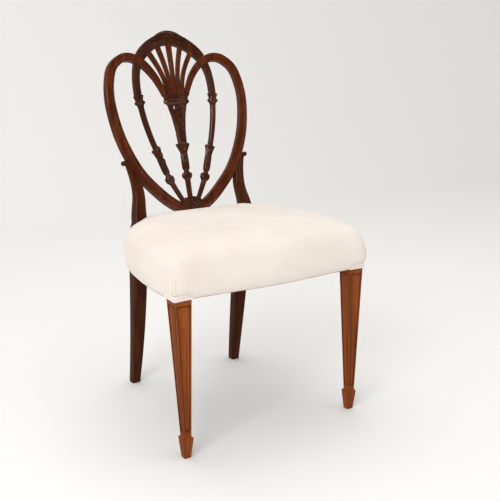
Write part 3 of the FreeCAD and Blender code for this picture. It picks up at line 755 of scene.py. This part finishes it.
def crest_leaves(bm):
    """Leaves in threes that lie along the crest, away from its middle, and one upright leaf there."""
    run = drawn(CREST, 10)
    middle = len(run) // 2
    for sign in (-1, 1):
        for i in range(0, middle, 2):
            x, z, _ = run[middle + sign * i]
            far_x, far_z, _ = run[middle + sign * min(i + 1, middle)]
            heading = math.atan2(far_x - x, far_z - z)
            for aside, length in ((-0.5, 0.010), (0.0, 0.013), (0.5, 0.010)):
                out = ARCH_FRONT + 0.0016
                leaf(bm, x, z - 0.001, heading + aside, length, LEAF_WIDE, out, LEAF_RELIEF)
    leaf(bm, 0.0, FOOT + 1.112 * HEIGHT, 0.0, 0.018, 0.010, ARCH_FRONT + 0.0020, 0.003)


bm = bmesh.new()
arch_path = arch_frames[arch_middle - CROSSING * STEPS:arch_middle + CROSSING * STEPS + 1]
sweep(bm, arch_path, arch_reeds)
sweep(bm, frames_of(drawn(CREST)), reeded(ARCH_THICK, ARCH_BACK - CREST_PROUD, 1))
crest_leaves(bm)
pearls(bm, arch_path, 0.24)
finish("crest_arch_carved", bm, mahogany_carved_shaded, ["crest_arch"])

# %% Limbs of the arch
def limb(bm):
    path = arch_frames[arch_middle + CROSSING * STEPS:]
    sweep(bm, path, arch_reeds)
    pearls(bm, path, 0.0)


both_sides("arch_limb_reeded", limb, mahogany_carved_shaded, ["arch_limb"])

# %% [markdown]
# ## Bars and splat
#
# Each bar is a row of oval rings through heights, widths and thicknesses. The vases get leaf-like
# lobes on their front, and the splat carries its fan of five moulded ribs.

# %% Profiles of the bars
def capital(top, flare, neck, ring):
    """Rows of height, width, thickness and lobes in millimetres, from the top down."""
    return [
        (top, flare, 22, 0), (top - 3, flare * 0.94, 22, 0), (top - 6, neck + 3, 20, 0),
        (top - 14, neck, 20, 0.05), (top - 16, ring, 23, 0), (top - 21, ring, 23, 0),
        (top - 24, ring - 9, 18, 0),
    ]


def vase(top, flare, belly, length):
    """Rows of a vase that stands on a knop, in the same units."""
    neck = top - length
    return [
        (top + 1, flare * 0.92, 18, 0), (top, flare, 20, 0.16), (top - length * 0.14, flare * 0.78, 18, 0.26),
        (top - length * 0.31, belly, 17, 0.28), (top - length * 0.57, belly * 1.06, 18, 0.24),
        (top - length * 0.80, belly * 1.06, 18, 0.12), (top - length * 0.92, belly, 17, 0.06),
        (neck, belly * 0.66, 13, 0), (neck - 4, belly * 0.83, 16, 0), (neck - 7, belly * 1.38, 21, 0.16),
        (neck - 13, belly * 1.48, 22, 0.20), (neck - 19, belly * 1.32, 20, 0.14),
        (neck - 21, belly * 1.02, 18, 0), (neck - 25, belly * 0.78, 14, 0),
    ]


def bar(bm, middle, profile, fineness=3):
    """A carved bar through such rows. The middle is a function that gives x for a height."""
    rows = []
    for near, far in zip(profile, profile[1:]):
        for step in range(fineness):
            t = step / fineness
            rows.append([a + (b - a) * t for a, b in zip(near, far)])
    rows.append(list(profile[-1]))
    heights = [row[0] / 1000 for row in rows]
    rings = []
    for i, (_, width, thickness, lobes) in enumerate(rows):
        z, before, after = heights[i], heights[max(i - 1, 0)], heights[min(i + 1, len(rows) - 1)]
        along = (on_back(middle(before), before) - on_back(middle(after), after)).normalized()
        forward = forward_at(middle(z))
        side = along.cross(forward).normalized()
        place = on_back(middle(z), z)
        ring = carved_ring(width / 1000, thickness / 1000, lobes)
        rings.append([place + side * a + forward * b for a, b in ring])
    skin(bm, rings)


def height(share):
    """Height in millimetres of a share of the shield's height."""
    return (FOOT + share * HEIGHT) * 1000


print("capital at", round(height(COLLAR), 1), "mm")

# %% Side bars
SIDE_BAR = [
    (0.567, 0.760), (0.530, 0.622), (0.465, 0.490), (0.378, 0.367), (0.270, 0.222), (0.129, 0.092),
    (0.080, 0.053),
]
SIDE_VASE = 0.417
side_run = [(u * HALF, FOOT + v * HEIGHT) for u, v in smooth_line(SIDE_BAR, 8)]


def side_x(z):
    """Sideways place of the side bar's middle at a height."""
    for (x1, z1), (x0, z0) in zip(side_run, side_run[1:]):
        if z >= z0:
            return x0 + (x1 - x0) * (z - z0) / (z1 - z0)
    return side_run[-1][0]


def side_bar(bm):
    top, flare = height(COLLAR), height(SIDE_VASE)
    profile = capital(top, 30, 22, 30)
    profile += [(top - 31, 16.5, 15, 0), (height(0.59), 16.4, 15, 0), (height(0.5), 15.9, 15, 0)]
    profile += [(flare + 3, 15.5, 15, 0)]
    profile += vase(flare, 30.5, 19, 68)
    profile += [(height(0.13), 13.5, 14, 0), (height(0.053), 12, 14, 0)]
    bar(bm, side_x, profile)
    for i in range(3):
        z = (flare - 10 - i * 17) / 1000
        leaf(bm, side_x(z), z, 0.0, 0.020, 0.009, 0.0082)


both_sides("side_bar_carved", side_bar, mahogany_carved_shaded, ["side_bar"])

# %% [markdown]
# The ribs of the fan spread from behind the splat's capital to the arch. Each leaves the capital nearly
# upright and bends outwards, and widens on its way.

# %% Ribs of the fan
FAN = [(0.0, 1.088, 15), (0.174, 1.071, 13), (0.316, 1.028, 13)]
RIB_PITCH, RIB_FOOT, RIB_THICK = 0.0112, 8.4, 0.011
RIB_STEPS, RIB_BEND = 24, 0.26


def rib_line(index):
    """The line of one rib. Index 0 is the middle one, and the others go by pairs."""
    head_u, head_v, head_width = FAN[abs(index)]
    side = -1 if index < 0 else 1
    foot_x, foot_z = RIB_PITCH * abs(index), FOOT + COLLAR * HEIGHT - 0.005
    line = []
    for step in range(RIB_STEPS + 1):
        rise = step / RIB_STEPS
        spread = rise - (RIB_BEND * math.sin(math.pi * rise) if index else 0)
        x = foot_x + (head_u * HALF - foot_x) * spread
        z = foot_z + (FOOT + head_v * HEIGHT - foot_z) * rise
        line.append((side * x, z, (RIB_FOOT + (head_width - RIB_FOOT) * rise**1.5) / 1000))
    return line


ribs = bmesh.new()
for index in range(-2, 3):
    sweep(ribs, frames_of(rib_line(index)), reeded(RIB_THICK, ARCH_BACK, 1))
finish("fan_ribs_moulded", ribs, mahogany, ["centre_splat"])

# %% [markdown]
# Two upright eyes pierce the splat under its capital. A boolean cut makes clean walls through the
# oval body, which drawn outlines would make hard to reach.

# %% Eyes of the splat
EYE_X, EYE_Z = 0.010, height(COLLAR) / 1000 - 0.034
EYE = (0.0042, 0.0065)                  # half width and half height
EYE_REACH = 0.08                        # length of the cutter, well past the splat on both sides


def new_mesh(name, bm):
    bmesh.ops.recalc_face_normals(bm, faces=bm.faces)
    mesh = bpy.data.meshes.new(name)
    bm.to_mesh(mesh)
    return mesh


def evaluated(item):
    """A new mesh of an object as its modifiers leave it."""
    return bpy.data.meshes.new_from_object(item.evaluated_get(bpy.context.evaluated_depsgraph_get()))


def cut_eyes(bm):
    eyes = bmesh.new()
    for x in (-EYE_X, EYE_X):
        reach = Matrix.Translation(on_back(x, EYE_Z)) @ Matrix.Rotation(math.pi / 2, 4, "X")
        whole = reach @ Matrix.Diagonal((*EYE, 1, 1))
        bmesh.ops.create_cone(
            eyes, cap_ends=True, segments=24, radius1=1, radius2=1, depth=EYE_REACH, matrix=whole
        )
    holder = bpy.data.objects.new("body", new_mesh("splat_body", bm))
    cutter = bpy.data.objects.new("eyes", new_mesh("eyes", eyes))
    eyes.free()
    for item in (holder, cutter):
        bpy.context.scene.collection.objects.link(item)
    cut = holder.modifiers.new("eyes", "BOOLEAN")
    cut.operation = "DIFFERENCE"
    cut.object = cutter
    cut.solver = "EXACT"
    bpy.context.view_layer.update()
    pierced = evaluated(holder)
    bm.clear()
    bm.from_mesh(pierced)
    for item in (holder, cutter):
        bpy.data.objects.remove(item)


print("eyes at", round(EYE_Z, 4))

# %% Splat
SPLAT_VASE = 0.441


def husks(bm):
    """A falling chain of husks, each of three leaves, that gets smaller downwards."""
    for i in range(6):
        z, size = EYE_Z + 0.006 - i * 0.0175, 1 - i * 0.09
        for angle, share in ((0.0, 1.0), (0.55, 0.85), (-0.55, 0.85)):
            leaf(bm, 0.0, z, math.pi + angle, 0.019 * size * share, 0.0066 * size, 0.0070, 0.0036)


bm = bmesh.new()
top, flare = height(COLLAR), height(SPLAT_VASE)
splat_rows = capital(top, 88, 73, 78)
splat_rows += [(top - 28, 60, 13, 0), (height(0.618), 43, 15, 0), (height(0.526), 31, 16, 0)]
splat_rows += [(flare + 3, 27, 16, 0)]
splat_rows += vase(flare, 43, 20.5, 71) + [(height(0.060), 13, 14, 0)]
bar(bm, lambda z: 0.0, splat_rows)
cut_eyes(bm)
husks(bm)
for i in range(4):
    leaf(bm, 0.0, (flare - 10 - i * 15) / 1000, 0.0, 0.018, 0.009, 0.0084)
finish("centre_splat_carved", bm, mahogany_carved_shaded, ["centre_splat"])

# %% [markdown]
# ## Rosette
#
# A half patera stands on the foot of the heart: a sunk dish, a ring of petals and a rim.

# %% Rosette
ROSETTE, WIDER = 0.034, 1.2             # radius upwards, and how much wider than high it is
ROSETTE_FACE = 0.0198                   # where the petals lie, from the back of the shield
ROSETTE_PROFILE = [
    (1, 0), (1, 0.019), (0.96, 0.021), (0.90, 0.0215), (0.86, 0.0195), (0.60, 0.0195), (0.35, 0.021),
    (0.12, 0.022),
]
PETALS = 9

bm = bmesh.new()
across, forward, up = axes_at(0.0, 0.0)
start = on_back(0.0, FOOT + 0.024 * HEIGHT, -THICK / 2)
half_turn = [math.pi * i / 36 for i in range(37)]
boss(bm, start, (across * WIDER, forward, up), ROSETTE, ROSETTE_PROFILE, half_turn)
for i in range(PETALS):
    angle = math.pi * (i + 0.5) / PETALS - math.pi / 2
    reach = up * math.cos(angle) + across * WIDER * math.sin(angle)
    along = reach.normalized()
    place = start + forward * ROSETTE_FACE + reach * ROSETTE * 0.56
    petal = (ROSETTE * 0.115, 0.0036, ROSETTE * 0.30 * reach.length)
    ball(bm, place, (along.cross(forward), forward, along), petal)
ball(bm, start + forward * ROSETTE_FACE + up * 0.0035, (across, forward, up), (0.006, 0.0045, 0.006))
finish("base_rosette_carved", bm, mahogany_carved_shaded, ["base_rosette"])

# %% [markdown]
# ## Rear legs
#
# Each leg is sawn in one with its stile, curves back to the floor, and ends in a small scroll where
# it meets the shield.

# %% Rear leg outline
LEG_IN, LEG_WIDE, LEG_DEEP = 0.144, 0.039, 0.037        # inside face and size at the seat
LEG_TOE = 0.024, 0.026                                  # width and depth on the floor
LEG_FACE = BACK - 0.007                                 # front face at the rails' top
STILE = [
    (0.733, 35.5, -0.025, 34.0), (0.735, 33.5, 0.012, 31.5), (0.727, 31.0, 0.065, 29.0),
    (0.711, 28.5, 0.125, 26.0), (0.711, 27.0, 0.185, 23.5), (0.731, 26.0, 0.250, 21.0),
    (0.766, 23.5, 0.305, 19.0), (0.811, 20.5, 0.359, 18.0),
]


def rounded(x, wide, y, deep, z, ease=0.0035, fine=3):
    """A rectangle at one height with eased corners."""
    right, left, rear, front = x + wide - ease, x + ease, y + deep - ease, y + ease
    points = []
    for quarter, (cx, cy) in enumerate(((right, rear), (left, rear), (left, front), (right, front))):
        for i in range(fine + 1):
            angle = math.pi / 2 * (quarter + i / fine)
            points.append(Vector((cx + ease * math.cos(angle), cy + ease * math.sin(angle), z)))
    return points


def leg_stations():
    """Height, inside face, width, front face and depth, from the floor up to the shield."""
    toe_wide, toe_deep = LEG_TOE
    stations = []
    for rise in (0.0, 0.1, 0.2, 0.32, 0.46, 0.62, 0.8):
        drop = 1 - rise
        wide = LEG_WIDE - (LEG_WIDE - toe_wide) * drop**1.6
        deep = LEG_DEEP - (LEG_DEEP - toe_deep) * drop**1.6
        inside, face = LEG_IN + 0.0095 * drop**2.5, LEG_FACE + 0.007 + 0.0545 * drop**1.35
        stations.append((SEAT * rise, inside, wide, face, deep))
    stations.append((SEAT, LEG_IN, LEG_WIDE, LEG_FACE + 0.007, LEG_DEEP + 0.001))
    stations.append((RAILS, LEG_IN + 0.001, LEG_WIDE, LEG_FACE, LEG_DEEP - 0.001))
    for u, wide, v, deep in STILE:
        x, z = u * HALF, FOOT + v * HEIGHT
        stations.append((z, x, wide / 1000, lean(x, z) - MOVED - deep * 0.00055, deep / 1000))
    return stations


print("rear leg through", len(leg_stations()), "stations")

# %% Rear legs
SCROLL = 0.0065
SCROLL_PROFILE = [
    (0.9, 0), (1, 0.0015), (1, 0.0155), (0.86, 0.017), (0.55, 0.0165), (0.35, 0.0178), (0.1, 0.018),
]


def rear_leg(bm):
    line = smooth_line(leg_stations(), 4)
    skin(bm, [rounded(x, wide, y + MOVED, deep, z) for z, x, wide, y, deep in line])
    x, z = 0.918 * HALF, FOOT + 0.352 * HEIGHT
    start = on_back(x, z, THICK / -2 + 0.001)
    boss(bm, start, axes_at(x, 0.0), SCROLL, SCROLL_PROFILE, around(24))


# The rear legs take the darker mahogany: painted shade.
both_sides("rear_leg_shaped", rear_leg, mahogany_shaded, ["rear_leg"])

# %% [markdown]
# ## Front legs, rails and what is under the seat
#
# These solids already have the right shape, so they stay. A weld and a narrow bevel ease the edges of
# the timber, and each gets its own timber or cloth.

# %% Kept solids
KEPT = {
    mahogany_leg: ["front_leg_left", "front_leg_right"],
    beech_across: ["front_rail", "back_rail"],
    beech_deep: ["side_rail_left", "side_rail_right"],
    beech: ["front_block_left", "front_block_right", "rear_block_left", "rear_block_right", "back_pegs"],
    bright_steel: ["dust_cover_tacks"],
    jute: ["webbing_long", "webbing_cross", "seat_hessian"],
    lining: ["dust_cover"],
}
EASED = 0.0007


def ease_edges(kept):
    weld = kept.modifiers.new("weld", "WELD")
    weld.merge_threshold = 0.00002
    ease = kept.modifiers.new("ease", "BEVEL")
    ease.width = EASED
    ease.segments = 2
    ease.limit_method = "ANGLE"
    ease.angle_limit = math.radians(30)


for material, names in KEPT.items():
    for name in names:
        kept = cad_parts[name]
        kept.data.materials.clear()
        kept.data.materials.append(material)
        if material in (mahogany_leg, beech, beech_across, beech_deep):
            ease_edges(kept)
print("kept", sum(len(names) for names in KEPT.values()), "solids")

# %% [markdown]
# Each face of a front leg has a sunk panel. A fine bead runs round it, inside the land, in the darker
# mahogany: painted shade along the panel's edge.

# %% Panel beads
POST, POST_HALF = Vector((0.246, -0.244 + MOVED, SEAT)), 0.021
ANKLE, ANKLE_HALF = Vector((0.24225, -0.25675 + MOVED, 0.055)), 0.00975
LAND = 0.0044                           # from the leg's corner to the bead
PANEL = ((0.045, 1), (0.045, -1), (0.955, -1), (0.955, 1), (0.045, 1))


def tube(bm, path, radius, count=8):
    """A round cord along a few points, closed at both ends."""
    rings = []
    for i, place in enumerate(path):
        along = (path[min(i + 1, len(path) - 1)] - path[max(i - 1, 0)]).normalized()
        helper = Vector((0.13, 0.2, 0.97)) if abs(along.z) < 0.9 else Vector((1, 0, 0))
        side = along.cross(helper).normalized()
        other = along.cross(side)
        rings.append([place + (side * math.cos(t) + other * math.sin(t)) * radius for t in around(count)])
    skin(bm, rings)


def panel_beads(bm):
    for quarter in range(4):
        facing = Matrix.Rotation(quarter * math.pi / 2, 3, "Z")
        corners = []
        for share, aside in PANEL:
            middle = POST.lerp(ANKLE, share)
            half = POST_HALF + (ANKLE_HALF - POST_HALF) * share
            corners.append(middle + facing @ Vector((aside * (half - LAND), 0.0004 - half, 0)))
        for start, end in zip(corners, corners[1:]):
            tube(bm, [start, end], 0.00085, 6)


# The beads take the darker mahogany: painted shade along the panel's edge.
both_sides("leg_panel_beads", panel_beads, mahogany_shaded, [])

# %% [markdown]
# ## The seat
#
# The cover starts as a drawn form: a bowed front, sides that swell between the rails and the shoulder,
# and a crowned top. A cloth simulation then puffs and settles it, held where it is tacked.

# %% Outline of the seat
MID_Y = -0.062                          # the crown shrinks towards this line
CORNER_X, CORNER_Y = 0.272, -0.270
SEAT_BACK, BOW = 0.152, 0.011
REAR_X = 0.185                          # where the outline passes the rear legs


def right_outline(corner, draw):
    """Places from the front's middle to the back, each with how it moves when the seat swells."""
    turn = corner * (1 - math.sqrt(0.5))
    return [
        (0.0, CORNER_Y - BOW, 0.0, -1.0),
        (CORNER_X * 0.27, CORNER_Y - BOW * 0.80, 0.0, -1.0),
        (CORNER_X * 0.52, CORNER_Y - BOW * 0.30, 0.0, -1.0),
        (CORNER_X * 0.76, CORNER_Y, 0.0, -1.0),
        (CORNER_X - corner, CORNER_Y, 0.15, -1.0),
        (CORNER_X - turn, CORNER_Y + turn, 0.8, -0.8),
        (CORNER_X, CORNER_Y + corner, 1.0, -0.15),
        (CORNER_X + 0.002, CORNER_Y * 0.57, 1.0, 0.0),
        (CORNER_X - 0.008, CORNER_Y * 0.2, 1.0, 0.1),
        (CORNER_X - 0.030, -CORNER_Y * 0.18, 0.9, 0.2),
        (REAR_X + 0.026, BACK - 0.034 - draw * 0.5, 0.6, 0.1),
        (REAR_X, BACK - 0.0015 - draw, 0.25, 0.0),
        (REAR_X - 0.021, SEAT_BACK - draw, 0.0, 0.3),
        (REAR_X * 0.5, SEAT_BACK - draw, 0.0, 0.3),
    ]


def seat_ring(z, grow, scale, draw, corner):
    """The seat's outline at one height, swollen by grow, shrunk by scale and drawn in at the back."""
    right = []
    for x, y, out_x, out_y in right_outline(corner, draw):
        y = MID_Y + (y + out_y * grow - MID_Y) * scale
        right.append(((x + out_x * grow) * scale, y))
    back_middle = (0.0, MID_Y + (SEAT_BACK - draw + 0.3 * grow - MID_Y) * scale)
    loop = right + [back_middle] + [(-x, y) for x, y in reversed(right[1:])]
    wrapped = smooth_line([loop[-1]] + loop + loop[:2], 4)
    return [Vector((x, y + MOVED, z)) for x, y in wrapped[4:4 * (len(loop) + 1)]]


print("outline of", len(seat_ring(SEAT, 0.0, 1.0, 0.0, 0.012)), "places")

# %% Seat form
SHOULDER, CROWN, SWELL = 0.0855, 0.0435, 0.0090
EDGE_CORNER = 0.012                     # radius of the outline's corner at the tacked edge
SIDES = [(0.0, 0.0, 0.0), (0.2, 0.66, 0.0), (0.48, 1.0, 0.0), (0.76, 0.85, 1.0), (1.0, 0.2, 12.0)]
TOP = [(0.96, 0.32), (0.88, 0.60), (0.76, 0.82), (0.56, 0.95), (0.25, 1.0), (0.04, 1.02)]
TOP_DRAW = 0.014


def seat_form():
    """Sides from shares of rise and swell and a draw in millimetres, then a top that shrinks and rises."""
    rings = []
    for rise, swell, draw in smooth_line(SIDES, 2):
        corner = EDGE_CORNER + 0.030 * max(rise - 0.2, 0)
        rings.append(seat_ring(SEAT + SHOULDER * rise, SWELL * swell, 1.0, draw / 1000, corner))
    for scale, rise in smooth_line(TOP, 2):
        corner = 0.036 + 0.06 * (1 - scale)
        rings.append(seat_ring(SEAT + SHOULDER + CROWN * rise, SWELL * 0.2, scale, TOP_DRAW, corner))
    bm = bmesh.new()
    skin(bm, rings)
    form = bpy.data.objects.new("seat_form", new_mesh("seat_form", bm))
    bm.free()
    bpy.context.scene.collection.objects.link(form)
    return form


form = seat_form()
print("seat form", len(form.data.polygons), "faces")

# %% [markdown]
# The simulated cloth is pinned along its tacked edge, filled by a gentle pressure, and its movement
# from the drawn form is capped, so it keeps the photographed outline.

# %% Cloth simulation
CLOTH_FACE = 0.0055                     # size of the simulated cloth's faces
LAST_FRAME = 20
REACH = 0.0018                          # the most that the cloth may move
HELD_BELOW = SEAT + 0.006


def remeshed(form):
    grid = form.modifiers.new("grid", "REMESH")
    grid.mode, grid.voxel_size = "VOXEL", CLOTH_FACE
    calm = form.modifiers.new("calm", "SMOOTH")
    calm.iterations = 4
    mesh = evaluated(form)
    form.modifiers.clear()
    return mesh


def puffed(form):
    """The cloth after its last frame, as a new mesh."""
    held = form.vertex_groups.new(name="held")
    for vert in form.data.vertices:
        held.add([vert.index], 1.0 if vert.co.z < HELD_BELOW else 0.0, "REPLACE")
    simulated = form.modifiers.new("cloth", "CLOTH")
    settings = simulated.settings
    settings.quality, settings.mass = 6, 0.4
    settings.tension_stiffness = settings.compression_stiffness = 18
    settings.shear_stiffness, settings.bending_stiffness = 8, 1.5
    settings.vertex_group_mass = "held"
    settings.use_pressure, settings.uniform_pressure_force = True, 4.0
    settings.effector_weights.gravity = 0.0
    simulated.point_cache.frame_start, simulated.point_cache.frame_end = 1, LAST_FRAME
    for number in range(1, LAST_FRAME + 1):
        bpy.context.scene.frame_set(number)
    mesh = evaluated(form)
    form.modifiers.clear()
    bpy.context.scene.frame_set(1)
    return mesh


def settle(form):
    """Move each place with the cloth, as far as its reach allows, and calm the surface."""
    most = 0.0
    target = puffed(form)
    for before, after in zip(form.data.vertices, target.vertices):
        moved = after.co - before.co
        most = max(most, moved.length)
        if moved.length > REACH:
            moved *= REACH / moved.length
        before.co += moved
    print("cloth moved up to", round(most * 1000, 2), "mm")
    bm = bmesh.new()
    bm.from_mesh(form.data)
    for _ in range(6):
        bmesh.ops.smooth_vert(
            bm, verts=bm.verts, factor=0.5, use_axis_x=True, use_axis_y=True, use_axis_z=True
        )
    bm.to_mesh(form.data)
    bm.free()


form.data = remeshed(form)
settle(form)
print("settled seat", len(form.data.polygons), "faces")

# %% [markdown]
# The settled form is opened underneath, where a narrow rim stays as the tacked edge. Over each front leg
# the lower edge is lifted to the piping. A wall inwards makes it cloth.

# %% Seat cover
LEG_X, LEG_Y, LEG_TOP = 0.267, -0.265, 0.042            # outside corner and width of a front leg's top
TRIM, TRIM_OVERLAP = 0.0135, 0.0030                     # height of the piping, and how far it laps the cover
RIM = 0.014


def lifted(place):
    """How far the cover's lower edge is raised where it meets the trim over a front leg."""
    past = min(abs(place.x) - LEG_X + LEG_TOP, LEG_Y + LEG_TOP - place.y + MOVED)
    over_leg = min(max(past / 0.010 + 0.5, 0), 1)
    low = 1 - min(max((place.z - SEAT) / 0.035, 0), 1)
    return (TRIM - TRIM_OVERLAP) * low * over_leg**2 * (3 - 2 * over_leg)


def underneath(face):
    return face.calc_center_median().z < SEAT + 0.0012 and face.normal.z < -0.7


bm = bmesh.new()
bm.from_mesh(form.data)
bpy.data.objects.remove(form)
under = [face for face in bm.faces if underneath(face)]
bmesh.ops.inset_region(bm, faces=under, thickness=RIM)
bmesh.ops.delete(bm, geom=under, context="FACES")
for vert in bm.verts:
    vert.co.z = max(vert.co.z, SEAT) + lifted(vert.co)
closed_in = ["seat_cover", "seat_stuffing", "rail_wadding"]
cover = finish("seat_cover_sewn", bm, cover_cloth, closed_in)
cover.data.shade_smooth()
wall = cover.modifiers.new("thickness", "SOLIDIFY")
wall.thickness, wall.offset = 0.0016, -1

# %% [markdown]
# ## Seams and piping
#
# The cover is sewn at the two front corners, with a line of stitching on each side of the seam. A double
# cord trims it over the top of each front leg.

# %% Corner seams
SEAM_ASIDE, SEAM_THREAD = 0.0032, 0.00045
SEAM_LOW, SEAM_RISE, SEAM_STEPS = 0.400, 0.036, 18


def seam_path(tree, sign, offset):
    """Places on the cover's corner, found by rays that come from outside."""
    outward = Vector((sign, -1, 0)).normalized()
    path = []
    for i in range(SEAM_STEPS + 1):
        z = SEAM_LOW + SEAM_RISE * i / SEAM_STEPS
        aside = Vector((0.7071 * sign, 0.7071, 0)) * offset
        target = Vector((sign * 0.150, CORNER_Y + 0.120 + MOVED, z)) + aside
        hit, normal, _, _ = tree.ray_cast(target + outward * 0.4, -outward)
        if hit is not None:
            path.append(hit + normal * 0.0001)
    return path


surface = bmesh.new()
surface.from_mesh(cover.data)
tree = BVHTree.FromBMesh(surface)
bm = bmesh.new()
for sign in (-1, 1):
    for offset in (-SEAM_ASIDE, SEAM_ASIDE):
        tube(bm, seam_path(tree, sign, offset), SEAM_THREAD, 6)
surface.free()
finish("corner_seams", bm, seam_thread, [])

# %% Double piping
CORD, CORD_BEND = 0.0036, 0.0060        # radius of the cord, and of its turn at the leg's corner


def piping(bm):
    out_x, out_y = LEG_X + CORD * 0.7, LEG_Y - CORD * 0.7 + MOVED
    run = LEG_TOP + 0.001
    shares = [i / 16 for i in range(17)]
    for row in (0, 1):
        low = SEAT + TRIM - CORD - row * CORD * 1.85
        path = [Vector((LEG_X - run, out_y + CORD, low + 0.001))]
        path += [Vector((LEG_X - run + (run - CORD_BEND) * share, out_y, low)) for share in shares]
        for i in range(1, 8):
            angle = math.pi / 2 * i / 8
            x, y = out_x - CORD_BEND + CORD_BEND * math.sin(angle), out_y + CORD_BEND * (1 - math.cos(angle))
            path.append(Vector((x, y, low)))
        side_y = LEG_Y + MOVED + CORD_BEND
        path += [Vector((out_x, side_y + (run - CORD_BEND) * share, low)) for share in shares]
        path.append(Vector((out_x - CORD, LEG_Y + MOVED + run, low + 0.001)))
        for place in path:
            near = (place - Vector((out_x, out_y, low))).length
            place.z -= 0.0012 * math.exp(-((near / 0.011) ** 2))
        tube(bm, path, CORD, 12)


both_sides("leg_piping_sewn", piping, cover_cloth, ["leg_piping"])
